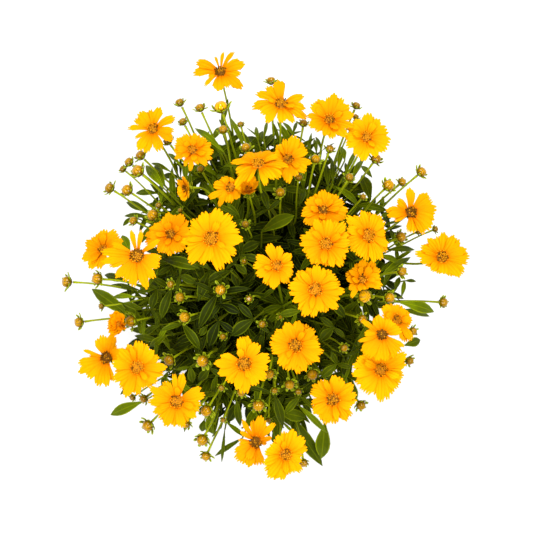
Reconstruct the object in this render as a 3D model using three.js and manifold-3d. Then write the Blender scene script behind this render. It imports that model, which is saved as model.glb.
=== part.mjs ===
// A potted coreopsis: twenty leafy stems stand in the soil of a plain nursery pot and carry
// thirty-five open blooms and the buds between them. Millimetres, +Z up; the pot's foot stands
// on z = 0 and the pot's axis is the Z axis.
import * as THREE from "three";
import { mergeVertices } from "three/addons/utils/BufferGeometryUtils.js";
import Module from "manifold-3d";

const wasm = await Module();
wasm.setup();

// ---- driving dimensions ------------------------------------------------------------------

const potHeight = 150;
const potTopRadius = 92; // outside, just under the rim
const potFootRadius = 68;
const potWall = 2.4;
const rimWidth = 3.2; // how far the rim stands out from the wall
const rimHeight = 11;
const drainHoles = 6;
const drainRadius = 5;
const drainRing = 53; // the holes' distance from the axis
const potSides = 28;

const soilTop = 136; // on the axis
const soilFall = 3; // lower than that at the pot's wall
const seat = 0.3; // gap between pieces that touch

const crownDepth = 60; // the stems fan out from a point this far under the soil's top
const stemRadius = 2.2;
const stemSides = 5;
const stalkRadius = 1.35;
const stalkSides = 3;
const footDepth = 12; // how deep a stem stands in its hole
const forkShare = 0.6; // where a leafy stem ends and its last stalks go on, as a share of the rise

const lowestFork = 0.32; // where the first stalk leaves it
const parting = 0.2; // how far a stalk bows away from its stem, as a share of its run
const room = 0.6; // leaves stay this far inside their stem's own room

// A leaf's measures go from those of the lowest on a stem to those of the highest.
const leafLength = [92, 62];
const leafWidth = [16, 12];
const leafThickness = 1.3; // along the midrib; the margins are sharp
const leafRise = [32, 50]; // slope where it leaves the stem, in degrees
const leafFall = [-28, 8]; // slope at its tip
const leafFold = 0.3; // how far the margins stand above the midrib, as a share of half the width
const innerLean = 0.45; // a stem that leans less than this, run over rise, bears fewer leaves
const outerLean = 0.75; // leaves of a stem that leans less than this are set steeper
const steepest = 18; // by this many degrees at the most

const rayThickness = 2.2; // where a ray leaves the disc
const rayFoot = 0.9; // height of the rays' plane over the bloom's underside
const discShare = 0.125; // the disc's radius, as a share of the bloom's width
const bracts = 5;
const cupRadius = 2.6; // the flat top of the green cup that a bloom sits on

const colours = { pot: 0x1b1c1b, soil: 0x33241a, green: 0x4f6f1c, ray: 0xffb900 };

// ---- the heads ---------------------------------------------------------------------------

// Open blooms: centre x, y, z; width across; tilt from upright; direction it leans to;
// number of rays; how steeply the rays rise from the disc. Angles are in degrees.
const blooms = [
  [-67, 224, 310, 51, 28, 105, 8, 8],
  [0, 170, 364, 55, 30, 90, 8, 6],
  [51, 152, 371, 46, 25, 60, 8, 18],
  [-138, 149, 338, 48, 18, 130, 8, 6],
  [88, 131, 372, 47, 12, 40, 8, 10],
  [-90, 115, 380, 43, 20, 120, 10, 15],
  [10, 104, 388, 47, 32, 20, 8, 15],
  [-23, 92, 413, 58, 45, 92, 8, 5],
  [-100, 75, 374, 26, 65, 200, 7, 40],
  [-51, 72, 396, 42, 45, 215, 8, 12],
  [-34, 72, 380, 20, 15, 110, 7, 52],
  [42, 48, 407, 46, 22, 100, 10, 12],
  [133, 50, 382, 49, 26, 20, 8, 8],
  [-110, 28, 380, 43, 8, 150, 9, 10],
  [-69, 14, 421, 62, 4, 180, 9, 4],
  [-183, 21, 343, 41, 15, 180, 8, 12],
  [-144, 3, 392, 60, 8, 260, 8, 0],
  [42, 9, 427, 52, 10, 180, 10, 8],
  [86, 18, 418, 54, 14, 340, 9, 8],
  [165, 8, 368, 52, 25, 10, 8, 6],
  [-6, -12, 425, 44, 6, 100, 8, 8],
  [80, -21, 395, 40, 15, 60, 10, 18],
  [32, -37, 434, 56, 4, 0, 9, 4],
  [-169, -56, 345, 22, 20, 200, 7, 55],
  [-178, -92, 333, 52, 28, 190, 8, 8],
  [-144, -106, 362, 57, 10, 270, 9, 5],
  [-105, -139, 361, 56, 12, 250, 8, 6],
  [-36, -105, 399, 58, 6, 300, 8, 4],
  [14, -88, 408, 54, 8, 250, 9, 6],
  [99, -74, 407, 42, 30, 250, 7, 5],
  [114, -59, 385, 40, 20, 40, 8, 8],
  [98, -109, 380, 55, 8, 300, 9, 2],
  [50, -138, 380, 52, 12, 210, 8, 8],
  [-25, -177, 346, 50, 25, 240, 8, 15],
  [6, -191, 360, 50, 14, 330, 8, 6],
];

// Leafy stems: the numbers of the blooms each carries, and its buds as x, y, z, width across.
const stems = [
  {
    blooms: [24, 25],
    buds: [[-226, -9, 303, 11], [-189, -11, 335, 11], [-211, -53, 308, 10],
      [-162, -54, 323, 9]],
  },
  {
    blooms: [15],
    buds: [[-110, -23, 373, 7], [-100, -37, 380, 9], [-95, -57, 380, 10], [-59, -32, 396, 10]],
  },
  {
    blooms: [26, 27],
    buds: [[-113, -96, 340, 10], [-77, -100, 375, 11], [-75, -147, 339, 11]],
  },
  {
    blooms: [],
    buds: [[-140, -134, 323, 8], [-136, -161, 316, 11],
      [-96, -160, 328, 8], [-79, -176, 330, 11], [-76, -192, 314, 9]],
  },
  {
    blooms: [28],
    buds: [[-11, -113, 376, 9], [-22, -143, 364, 11], [-39, -130, 362, 8]],
  },
  {
    blooms: [21, 23, 29],
    buds: [[-18, -65, 388, 7]],
  },
  {
    blooms: [34, 35],
    buds: [[24, -199, 316, 8]],
  },
  {
    blooms: [33],
    buds: [[63, -87, 374, 7], [9, -123, 371, 9], [32, -112, 358, 10]],
  },
  {
    blooms: [32],
    buds: [[131, -97, 346, 8], [81, -142, 347, 9]],
  },
  {
    blooms: [22, 30, 31],
    buds: [[84, -35, 373, 12], [122, -10, 373, 9], [110, -35, 363, 10], [167, -37, 344, 9],
      [81, -59, 380, 8], [134, -68, 354, 8]],
  },
  {
    blooms: [13, 20],
    buds: [[110, 79, 372, 11], [126, 87, 355, 8], [148, 101, 342, 10], [123, 28, 360, 10]],
  },
  {
    blooms: [12, 18, 19],
    buds: [[70, 86, 378, 8]],
  },
  {
    blooms: [3, 5],
    buds: [[82, 178, 327, 8], [100, 113, 350, 10]],
  },
  {
    blooms: [7, 8],
    buds: [[19, 87, 374, 7], [0, 68, 388, 9], [36, 106, 374, 9], [51, 118, 370, 8]],
  },
  {
    blooms: [2],
    buds: [[-9, 209, 318, 9], [25, 154, 342, 8]],
  },
  {
    blooms: [],
    buds: [[-62, 170, 347, 13], [-59, 142, 358, 9], [-35, 118, 375, 9]],
  },
  {
    blooms: [1],
    buds: [[-108, 186, 313, 9], [-85, 175, 329, 9], [-103, 159, 331, 8], [-120, 142, 316, 9]],
  },
  {
    blooms: [6, 9, 10, 11],
    buds: [[-82, 100, 358, 7], [-35, 34, 394, 7]],
  },
  {
    blooms: [4],
    buds: [[-149, 126, 316, 10], [-160, 116, 326, 9], [-167, 110, 320, 7],
      [-148, 101, 346, 12], [-180, 88, 325, 10], [-159, 81, 344, 11]],
  },
  {
    blooms: [14, 16, 17],
    buds: [[-130, 50, 363, 11], [-151, 47, 351, 8]],
  },
];

// ---- small tools -------------------------------------------------------------------------

const V = (x, y, z) => new THREE.Vector3(x, y, z);
const rad = THREE.MathUtils.degToRad;
const mix = THREE.MathUtils.lerp;

/** A repeatable run of random numbers between 0 and 1. */
function randomFrom(seed) {
  const prime = 2147483647;
  let state = seed * 7919 + 17;
  return () => {
    state = (state * 16807) % prime;
    return state / prime;
  };
}

/** The solid inside a closed geometry. */
function solid(geometry) {
  const bare = geometry.clone();
  bare.deleteAttribute("normal");
  bare.deleteAttribute("uv");
  const merged = mergeVertices(bare, 1e-4);
  const mesh = new wasm.Mesh({
    numProp: 3,
    vertProperties: new Float32Array(merged.attributes.position.array),
    triVerts: new Uint32Array(merged.index.array),
  });
  return new wasm.Manifold(mesh);
}

/** The surface of a solid. */
function geometryOf(body) {
  const mesh = body.getMesh();
  const geometry = new THREE.BufferGeometry();
  geometry.setAttribute("position", new THREE.BufferAttribute(mesh.vertProperties, 3));
  geometry.setIndex(new THREE.BufferAttribute(mesh.triVerts, 1));
  return geometry;
}

const joined = (bodies) => bodies.reduce((sum, body) => sum.add(body));

/** Triangles between two rings, each corner joined to the corners level with it on the other. */
function bridge(low, high, lowStart, highStart, index) {
  const lowTurns = low.length > 1 ? low.length : 0;
  const highTurns = high.length > 1 ? high.length : 0;
  let i = 0;
  let j = 0;
  while (i < lowTurns || j < highTurns) {
    const a = lowStart + (i % low.length);
    const b = highStart + (j % high.length);
    const lowIsNext = (i + 0.5) / low.length <= (j + 0.5) / high.length;
    if (i < lowTurns && (j >= highTurns || lowIsNext)) {
      i += 1;
      index.push(a, lowStart + (i % low.length), b);
    } else {
      j += 1;
      index.push(a, highStart + (j % high.length), b);
    }
  }
}

/** A closed skin over a stack of rings, each counter-clockwise as seen from the last one. */
function skin(rings) {
  const index = [];
  let start = 0;
  for (let k = 0; k + 1 < rings.length; k += 1) {
    const next = start + rings[k].length;
    bridge(rings[k], rings[k + 1], start, next, index);
    start = next;
  }
  const geometry = new THREE.BufferGeometry().setFromPoints(rings.flat());
  geometry.setIndex(index);
  return geometry;
}

/** A regular ring of corners round a point, in the plane of two directions. */
function ringRound(centre, across, up, radius, sides) {
  return Array.from({ length: sides }, (_, k) => {
    const turn = (k / sides) * 2 * Math.PI;
    return centre.clone().addScaledVector(across, radius * Math.cos(turn))
      .addScaledVector(up, radius * Math.sin(turn));
  });
}

/** A level ring of corners on the Z axis, turned by a share of one side. */
const levelRing = (sides, radius, z, turn = 0) => Array.from({ length: sides }, (_, k) => {
  const angle = ((k + turn) / sides) * 2 * Math.PI;
  return V(radius * Math.cos(angle), radius * Math.sin(angle), z);
});

/** The frame of a head: z along the way it faces, at its centre. */
function headFrame(centre, tilt, leansTo) {
  const facing = V(0, 0, 1).applyAxisAngle(V(0, 1, 0), rad(tilt)).applyAxisAngle(V(0, 0, 1), rad(leansTo));
  const turn = new THREE.Quaternion().setFromUnitVectors(V(0, 0, 1), facing);
  return { centre, facing, place: new THREE.Matrix4().compose(centre, turn, V(1, 1, 1)) };
}

function piece(name, geometry, colour, roughness) {
  const material = new THREE.MeshStandardMaterial({ color: colour, roughness, metalness: 0 });
  geometry.computeVertexNormals();
  const mesh = new THREE.Mesh(geometry, material);
  mesh.name = name;
  return mesh;
}

const numbered = (word, k) => `${word}_${String(k + 1).padStart(2, "0")}`;

// ---- pot and soil ------------------------------------------------------------------------

/** Outside and inside radius of the pot's wall at a height. */
const potOutside = (z) => mix(potFootRadius, potTopRadius, z / potHeight);
const potInside = (z) => potOutside(z) - potWall;

/** A solid turned round the Z axis from pairs of radius and height. */
function turned(profile) {
  const lathe = new THREE.LatheGeometry(profile.map(([r, z]) => new THREE.Vector2(r, z)), potSides);
  return solid(lathe.rotateX(Math.PI / 2));
}

/** An upright prism to cut a hole with. */
function plug(radius, height, sides, x, y, middle) {
  const prism = new THREE.CylinderGeometry(radius, radius, height, sides);
  return solid(prism.rotateX(Math.PI / 2).rotateZ(Math.PI / 2).translate(x, y, middle));
}

/** The pot: one thin wall turned on its axis, a band for a rim, holes in its floor. */
function makePot() {
  const rimFoot = potHeight - rimHeight;
  let body = turned([
    [0, 0], [potFootRadius, 0], [potOutside(rimFoot), rimFoot],
    [potOutside(rimFoot) + rimWidth, rimFoot + 1], [potTopRadius + rimWidth, potHeight],
    [potInside(potHeight), potHeight], [potInside(potWall), potWall], [0, potWall],
  ]);
  for (let k = 0; k < drainHoles; k += 1) {
    const turn = ((k + 0.5) / drainHoles) * 2 * Math.PI;
    const [x, y] = [drainRing * Math.cos(turn), drainRing * Math.sin(turn)];
    body = body.subtract(plug(drainRadius, 3 * potWall, 6, x, y, 0));
  }
  return piece("pot", geometryOf(body), colours.pot, 0.55);
}

/** The soil fills the pot to below its rim, with a plain hole for each stem's foot. */
function makeSoil(feet) {
  const edge = soilTop - soilFall;
  const low = potWall + seat;
  const mass = turned([
    [0, low], [potInside(low) - seat, low], [potInside(edge) - seat, edge],
    [0.55 * potInside(edge), soilTop - 0.3 * soilFall], [0, soilTop],
  ]);
  const holeRadius = stemRadius + seat / Math.cos(Math.PI / stemSides);
  const holes = feet.map(({ x, y, z }) => (
    plug(holeRadius, 2 * footDepth, stemSides, x, y, z + footDepth - seat)
  ));
  return piece("soil", geometryOf(mass.subtract(joined(holes))), colours.soil, 0.95);
}

// ---- where each leafy stem has its room --------------------------------------------------

// Seen from the point the stems fan out from, each stem has the directions that lie nearer
// its own middle than any other's. What it carries stays inside them, so no two stems cross.
const fanPoint = V(0, 0, soilTop - crownDepth);

function direction(point) {
  const rise = point.z - fanPoint.z;
  return new THREE.Vector2(point.x / rise, point.y / rise);
}

function middleOf(stem) {
  const heads = [...stem.blooms.map((n) => blooms[n - 1]), ...stem.buds];
  const sum = new THREE.Vector2();
  heads.forEach(([x, y, z]) => sum.add(direction(V(x, y, z))));
  return sum.divideScalar(heads.length);
}

const middles = stems.map(middleOf);

/** How far a point is inside its stem's room, in millimetres; negative when it is out. */
function roomLeft(which, point) {
  const own = middles[which];
  const toPoint = direction(point).sub(own);
  let least = Infinity;
  middles.forEach((other, k) => {
    if (k === which) return;
    const across = other.clone().sub(own);
    const half = across.length() / 2;
    least = Math.min(least, half - toPoint.dot(across.normalize()));
  });
  return least * (point.z - fanPoint.z);
}

/** The point of a stem's middle line at a height. */
function onMiddle(which, z) {
  const rise = z - fanPoint.z;
  return V(middles[which].x * rise, middles[which].y * rise, z);
}

// ---- leaves ------------------------------------------------------------------------------

const leafShares = [0, 0.42, 0.75, 1];
const leafWidths = [0, 1, 0.72, 0];

/** Points of a leaf's midrib, which leaves the stem at one slope and ends at another. */
function midrib(root, azimuth, slopes, length) {
  const steps = 12;
  const out = V(Math.cos(azimuth), Math.sin(azimuth), 0);
  const points = [root.clone()];
  for (let k = 0; k < steps; k += 1) {
    const slope = mix(slopes[0], slopes[1], (k + 0.5) / steps);
    const step = out.clone().multiplyScalar(Math.cos(slope)).setZ(Math.sin(slope));
    points.push(points[k].clone().addScaledVector(step, length / steps));
  }
  return leafShares.map((share) => points[Math.round(share * steps)]);
}

/** The rings of a folded lance-shaped blade: margin, upper midrib, margin, lower midrib. */
function leafRings(root, azimuth, slopes, length, width) {
  const line = midrib(root, azimuth, slopes, length);
  const side = V(-Math.sin(azimuth), Math.cos(azimuth), 0);
  return line.map((at, k) => {
    if (!leafWidths[k]) return [at];
    const up = line[k + 1].clone().sub(line[k - 1]).normalize().cross(side);
    const reach = (width / 2) * leafWidths[k];
    const margin = (way) => (
      at.clone().addScaledVector(side, way * reach).addScaledVector(up, leafFold * reach)
    );
    const rib = (way) => at.clone().addScaledVector(up, (way * leafThickness) / 2);
    return [margin(1), rib(1), margin(-1), rib(-1)];
  });
}

/** A leaf that keeps inside its stem's room: it is set steeper and swung outward until it fits. */
function leafSolid(which, root, azimuth, slopes, length, width) {
  const outward = middles[which].angle();
  const swing = Math.atan2(Math.sin(outward - azimuth), Math.cos(outward - azimuth));
  const tries = 10;
  for (let k = 0; k <= tries; k += 1) {
    const share = k / tries;
    const steeper = [mix(slopes[0], rad(80), share), mix(slopes[1], rad(60), share)];
    const rings = leafRings(root, azimuth + share * swing, steeper, length, width);
    if (rings.flat().every((point) => roomLeft(which, point) > room)) return solid(skin(rings));
  }
  return null;
}

/** A stem's leaves: opposite pairs, each pair square to the one below it. */
function leavesOf(which, forkZ) {
  const draw = randomFrom(which + 1);
  const lean = middles[which].length();
  const pairs = lean > innerLean ? 3 : 2;
  const steeper = mix(steepest, 0, Math.min(1, lean / outerLean));
  const turn = draw() * Math.PI;
  const leaves = [];
  for (let k = 0; k < 2 * pairs; k += 1) {
    const pair = Math.floor(k / 2);
    const share = (pair + 0.5) / pairs;
    const along = (range) => mix(range[0], range[1], share);
    const root = onMiddle(which, mix(soilTop + 8, forkZ, share));
    const azimuth = turn + (pair * Math.PI) / 2 + (k % 2) * Math.PI + 0.5 * (draw() - 0.5);
    const slopes = [rad(along(leafRise) + steeper), rad(along(leafFall) + steeper)];
    const length = along(leafLength) * mix(0.88, 1.06, draw());
    leaves.push(leafSolid(which, root, azimuth, slopes, length, along(leafWidth)));
  }
  return leaves.filter((leaf) => leaf);
}

// ---- heads -------------------------------------------------------------------------------

/** The ring of narrow bracts, as the points and valleys of a star; the points droop. */
const bractStar = (valley, reach, z, droop) => levelRing(2 * bracts, 1, z).map((corner, k) => {
  const radius = k % 2 ? valley : reach;
  return V(corner.x * radius, corner.y * radius, k % 2 ? z : z - droop);
});

/** A closed bud on its ring of bracts, from the neck up. Small buds have fewer sides. */
function budRings(across) {
  const r = across / 2;
  const star = bractStar(0.62 * r, 1.75 * r, -0.75 * r, 0.1 * r);
  const tip = [V(0, 0, r)];
  if (across < 8) return [star, levelRing(bracts, r, 0.2 * r), tip];
  return [star, levelRing(bracts, r, 0.1 * r), levelRing(bracts, 0.62 * r, 0.8 * r), tip];
}

/** The green cup under an open bloom, flat on top, with bracts spreading from it. */
const cupRings = (across) => [
  bractStar(2.2, 0.2 * across, -3.4, 1.5), levelRing(bracts, cupRadius, 0), [V(0, 0, 0)],
];

// A ray's outline from its middle tooth round to the next ray's: share of the ray's length,
// sideways place in shares of half a ray's room. The slot between two rays is at 1.
const teeth = [[1, 0], [0.86, 0.4], [0.91, 0.88]];

/** The toothed edge of a bloom's rays, once round, from the first ray's middle tooth. */
function rayEdge(rays, start, radius, slot, rise, draw) {
  const half = Math.PI / rays;
  const each = Array.from({ length: rays }, () => ({
    lift: 1.6 * (draw() - 0.5),
    reach: radius * mix(0.92, 1.02, draw()),
  }));
  const edge = [];
  const add = (r, sector, lift) => {
    const angle = start + sector * half;
    edge.push(V(r * Math.cos(angle), r * Math.sin(angle), r * rise + rayFoot + lift));
  };
  for (let n = 0; n < rays; n += 1) {
    const [here, next] = [each[n], each[(n + 1) % rays]];
    teeth.forEach(([share, side]) => add(here.reach * share, 2 * n + side, here.lift));
    add(slot, 2 * n + 1, 0);
    [teeth[2], teeth[1]].forEach(([share, side]) => add(next.reach * share, 2 * n + 2 - side, next.lift));
  }
  return edge;
}

/** An open bloom: toothed rays round a low disc, all one skin. */
function makeBloom([x, y, z, across, tilt, leansTo, rays, cup], k) {
  const draw = randomFrom(100 + k);
  const disc = discShare * Math.max(28, across);
  const rise = Math.tan(rad(cup));
  const start = draw() * 2 * Math.PI;
  const turn = (start / (2 * Math.PI)) * rays;
  const discFoot = disc * rise + rayFoot + rayThickness;
  const rings = [
    [V(0, 0, seat)],
    rayEdge(rays, start, across / 2, 1.35 * disc, rise, draw),
    levelRing(rays, 0.95 * disc, discFoot, turn),
    levelRing(rays, 0.62 * disc, discFoot + 0.4 * disc, turn),
    [V(0, 0, discFoot + 0.3 * disc)],
  ];
  const { place } = headFrame(V(x, y, z), tilt, leansTo);
  return piece(numbered("bloom", k), skin(rings).applyMatrix4(place), colours.ray, 0.6);
}

// ---- leafy stems -------------------------------------------------------------------------

/** The way a stalk runs: it bows out from its stem and ends square under its head. */
function stalkCurve(from, end, facing) {
  const run = end.distanceTo(from);
  const bow = end.clone().sub(from).projectOnPlane(from.clone().sub(fanPoint).normalize());
  const low = from.clone().lerp(end, parting).add(bow.setLength(parting * run));
  const high = end.clone().addScaledVector(facing, -0.35 * run);
  return new THREE.CubicBezierCurve3(from, low, high, end);
}

/** Rings of a stalk and its head. */
function stalkRings(from, { centre, facing, place, across, open }) {
  const neck = open ? 4.6 : 0.62 * across;
  const curve = stalkCurve(from, centre.clone().addScaledVector(facing, -neck), facing);
  const steps = facing.z < 0.85 ? 3 : 2;
  const side = V(-facing.y, facing.x, 0).normalize();
  const rings = [];
  for (let k = 0; k <= steps; k += 1) {
    const up = curve.getTangent(k / steps).cross(side).normalize();
    rings.push(ringRound(curve.getPoint(k / steps), side, up, stalkRadius, stalkSides));
  }
  const crown = open ? cupRings(across) : budRings(across);
  return [...rings, ...crown.map((ring) => ring.map((point) => point.applyMatrix4(place)))];
}

/** A stem's heads, blooms and buds, from the highest down. Buds lean outward. */
function headsOf(stem) {
  const open = stem.blooms.map((n) => {
    const [x, y, z, across, tilt, leansTo] = blooms[n - 1];
    return { ...headFrame(V(x, y, z), tilt, leansTo), across, open: true };
  });
  const closed = stem.buds.map(([x, y, z, across]) => {
    const outward = THREE.MathUtils.radToDeg(Math.atan2(y, x));
    return { ...headFrame(V(x, y, z), 12 + 0.12 * Math.hypot(x, y), outward), across, open: false };
  });
  return [...open, ...closed].sort((a, b) => b.centre.z - a.centre.z);
}

/** The main stem from its foot in the soil to the fork, where its highest head's stalk goes on. */
function mainStem(foot, ground, fork, head) {
  const level = (centre, radius) => ringRound(centre, V(1, 0, 0), V(0, 1, 0), radius, stemSides);
  return solid(skin([
    [foot], level(foot, stemRadius), level(ground, stemRadius), level(fork, 1.1 * stalkRadius),
    ...stalkRings(fork, head).slice(1),
  ]));
}

/** A leafy stem with all its heads, and where it stands in the soil. */
function makeStem(stem, which) {
  const [highest, ...others] = headsOf(stem);
  const forkZ = mix(soilTop, highest.centre.z, forkShare);
  const lowForkZ = mix(soilTop, highest.centre.z, lowestFork);
  const ground = onMiddle(which, soilTop + 1);
  const foot = ground.clone().setZ(soilTop - footDepth);
  const bodies = [mainStem(foot, ground, onMiddle(which, forkZ), highest)];
  others.forEach((head, n) => {
    const from = onMiddle(which, mix(forkZ - 6, lowForkZ, n / (others.length + 1)));
    bodies.push(solid(skin([[from], ...stalkRings(from, head)])));
  });
  bodies.push(...leavesOf(which, forkZ));
  const name = numbered("leafy_stem", which);
  return { foot, mesh: piece(name, geometryOf(joined(bodies)), colours.green, 0.6) };
}

// ---- the plant ---------------------------------------------------------------------------

const leafyStems = stems.map(makeStem);
const coreopsis = new THREE.Group();
coreopsis.add(makePot(), makeSoil(leafyStems.map((one) => one.foot)));
coreopsis.add(...leafyStems.map((one) => one.mesh), ...blooms.map(makeBloom));

export default coreopsis;
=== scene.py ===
"""A potted coreopsis in full flower: golden toothed daisies over narrow dark leaves.

The plant's plan is kept in millimetres and becomes metres when a mesh is made.
"""
from copy import copy
from math import atan2, cos, degrees, exp, hypot, pi, radians, sin, sqrt, tan

import bmesh
import bpy
import numpy as np
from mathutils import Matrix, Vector, noise


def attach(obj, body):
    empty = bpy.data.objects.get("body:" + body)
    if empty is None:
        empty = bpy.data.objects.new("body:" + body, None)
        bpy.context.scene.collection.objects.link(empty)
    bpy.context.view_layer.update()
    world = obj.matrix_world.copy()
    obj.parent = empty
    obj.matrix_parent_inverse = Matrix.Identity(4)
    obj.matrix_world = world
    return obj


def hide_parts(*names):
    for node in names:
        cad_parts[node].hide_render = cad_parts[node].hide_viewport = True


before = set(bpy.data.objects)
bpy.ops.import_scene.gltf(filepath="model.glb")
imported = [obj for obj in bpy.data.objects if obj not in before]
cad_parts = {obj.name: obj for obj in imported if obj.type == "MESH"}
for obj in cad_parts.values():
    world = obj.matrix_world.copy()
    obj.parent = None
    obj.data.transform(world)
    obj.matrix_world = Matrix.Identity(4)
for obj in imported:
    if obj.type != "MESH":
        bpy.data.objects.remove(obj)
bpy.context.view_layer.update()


# ---- Camera ------------------------------------------------------------------------------
# A camera high over the plant, leaning a little towards its front, so that the blooms face
# it and the crown lies just below the middle of the frame.
camera_elevation = radians(80)
camera_distance = 1.18
camera_aim = Vector((-0.014, -0.006, 0.380))
frame_pixels = 533
pixels_per_tangent = 1180
sensor_width = 36

camera_data = bpy.data.cameras.new("camera")
camera_data.sensor_width = sensor_width
camera_data.lens = sensor_width * pixels_per_tangent / frame_pixels
camera = bpy.data.objects.new("camera", camera_data)
bpy.context.scene.collection.objects.link(camera)
towards_camera = Vector((0, -cos(camera_elevation), sin(camera_elevation)))
camera.location = camera_aim + camera_distance * towards_camera
camera.rotation_euler = (pi / 2 - camera_elevation, 0, 0)
bpy.context.scene.camera = camera


# ---- Floor and light ---------------------------------------------------------------------
# The pot stands on a plain white studio floor. Two soft boxes hang left and right in front of
# the plant and a third behind it, and pale walls all round fill the shadows.
floor_size = 12
floor_drop = 0.0005
floor_white = 0.95
floor_roughness = 0.9
wall_light = 0.34
box_size = 0.6
box_aim = Vector((0, 0, 0.35))
# Each soft box: where it hangs, and its power in watts.
boxes = (((-0.8, -0.6, 1.75), 19.5), ((0.8, -0.6, 1.75), 19.5), ((0, 0.85, 1.75), 20.5))

bpy.ops.object.select_all(action="DESELECT")
bpy.ops.mesh.primitive_plane_add(size=floor_size, location=(0, 0, -floor_drop))
floor = bpy.context.object
floor.name = "studio_floor"
floor_paint = bpy.data.materials.new("white_studio_floor")
floor_paint.use_nodes = True
floor_shader = floor_paint.node_tree.nodes["Principled BSDF"]
floor_shader.inputs["Base Color"].default_value = (floor_white, floor_white, floor_white, 1)
floor_shader.inputs["Roughness"].default_value = floor_roughness
floor.data.materials.append(floor_paint)

world = bpy.data.worlds.new("studio_walls")
bpy.context.scene.world = world
world.use_nodes = True
world.node_tree.nodes["Background"].inputs["Color"].default_value = (1, 1, 1, 1)
world.node_tree.nodes["Background"].inputs["Strength"].default_value = wall_light
for place, power in boxes:
    lamp = bpy.data.lights.new("soft_box", "AREA")
    lamp.size = box_size
    lamp.energy = power
    soft_box = bpy.data.objects.new("soft_box", lamp)
    soft_box.location = place
    soft_box.rotation_euler = (box_aim - soft_box.location).to_track_quat("-Z", "Y").to_euler()
    bpy.context.scene.collection.objects.link(soft_box)
bpy.context.scene.view_settings.view_transform = "Standard"


# ---- Pot ---------------------------------------------------------------------------------
# A thin-walled nursery pot, blown from black polypropylene: a tapered wall, a wide rim that
# pots are stacked and carried by, and holes in its floor that let the water out.
MM = 0.001
pot_height = 150 * MM
pot_foot_radius = 68 * MM
pot_top_radius = 92 * MM
pot_wall = 2.4 * MM
pot_sides = 96
rim_width = 3.2 * MM
rim_height = 11 * MM
edge_rounding = 0.7 * MM
drain_radius = 5 * MM
drain_ring = 53 * MM
drain_holes = 6
drill_length = 6 * pot_wall


def begin(add, **place):
    """Adds a primitive with nothing else selected, and goes into edit mode."""
    bpy.ops.object.select_all(action="DESELECT")
    add(**place)
    bpy.ops.object.mode_set(mode="EDIT")
    return bpy.context.object


def pick(kind, test):
    """In edit mode, selects only the faces or corners that pass the test."""
    bpy.context.tool_settings.mesh_select_mode = (kind == "corners", False, kind == "faces")
    bpy.ops.mesh.select_all(action="DESELECT")
    shape = bmesh.from_edit_mesh(bpy.context.object.data)
    for item in shape.faces if kind == "faces" else shape.verts:
        item.select_set(bool(test(item)))
    shape.select_flush_mode()
    bmesh.update_edit_mesh(bpy.context.object.data)


def is_top(face):
    """Whether a face looks straight up."""
    return face.normal.z > 0.9


def apply_modifiers(thing):
    """Leaves edit mode and makes the object's modifiers part of its mesh."""
    if bpy.context.mode != "OBJECT":
        bpy.ops.object.mode_set(mode="OBJECT")
    bpy.ops.object.select_all(action="DESELECT")
    thing.select_set(True)
    bpy.context.view_layer.objects.active = thing
    bpy.ops.object.transform_apply(location=True, rotation=True, scale=True)
    for modifier in list(thing.modifiers):
        bpy.ops.object.modifier_apply(modifier=modifier.name)


def finish_piece(thing, name, materials, slot, *stands_for, smooth_angle=40):
    """Smooths a piece, gives it its materials, and lets it ride on the object."""
    apply_modifiers(thing)
    bpy.ops.object.shade_smooth_by_angle(angle=radians(smooth_angle))
    thing.name = thing.data.name = name
    for material in materials:
        thing.data.materials.append(material)
    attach(thing, "root")
    if stands_for:
        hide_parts(*stands_for)


def add_node(tree, kind, place, settings=None, **values):
    """A shader node with its settings, and values for inputs that are named in capitals."""
    made = tree.nodes.new(kind)
    made.location = place
    for key, value in (settings or {}).items():
        setattr(made, key, value)
    for key, value in values.items():
        made.inputs[key].default_value = value
    return made


def feed(tree, socket, value):
    """Links a socket to another, or sets it to a number or a colour."""
    if isinstance(value, bpy.types.NodeSocket):
        tree.links.new(value, socket)
    else:
        socket.default_value = (*value, 1) if isinstance(value, tuple) else value


def add_ramp(tree, place, fac, *stops):
    """A colour ramp, fed by fac, from pairs of position and colour."""
    made = add_node(tree, "ShaderNodeValToRGB", place)
    while len(made.color_ramp.elements) < len(stops):
        made.color_ramp.elements.new(0.5)
    for element, (position, colour) in zip(made.color_ramp.elements, stops):
        element.position = position
        element.color = (*colour, 1)
    tree.links.new(fac, made.inputs["Fac"])
    return made.outputs["Color"]


def add_mix(tree, place, fac, low, high):
    """Mixes two colours; each is a socket or three numbers, and fac a socket or a number."""
    made = add_node(tree, "ShaderNodeMix", place, {"data_type": "RGBA"})
    for socket, value in ((made.inputs[0], fac), (made.inputs[6], low), (made.inputs[7], high)):
        feed(tree, socket, value)
    return made.outputs[2]


def add_math(tree, place, operation, *values):
    """A Math node; each value is a socket or a number."""
    made = add_node(tree, "ShaderNodeMath", place, {"operation": operation})
    for socket, value in zip(made.inputs, values):
        feed(tree, socket, value)
    return made.outputs[0]


def new_material(name, roughness, specular=0.5):
    """A material, its node tree and its Principled shader."""
    made = bpy.data.materials.new(name)
    made.use_nodes = True
    shader = made.node_tree.nodes["Principled BSDF"]
    shader.inputs["Roughness"].default_value = roughness
    shader.inputs["Specular IOR Level"].default_value = specular
    return made, made.node_tree, shader


def add_bump(tree, shader, height, strength, distance):
    """Lets a height pattern stand out of the surface."""
    bump = add_node(tree, "ShaderNodeBump", (-200, -400), Strength=strength, Distance=distance)
    tree.links.new(height, bump.inputs["Height"])
    tree.links.new(bump.outputs["Normal"], shader.inputs["Normal"])


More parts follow.
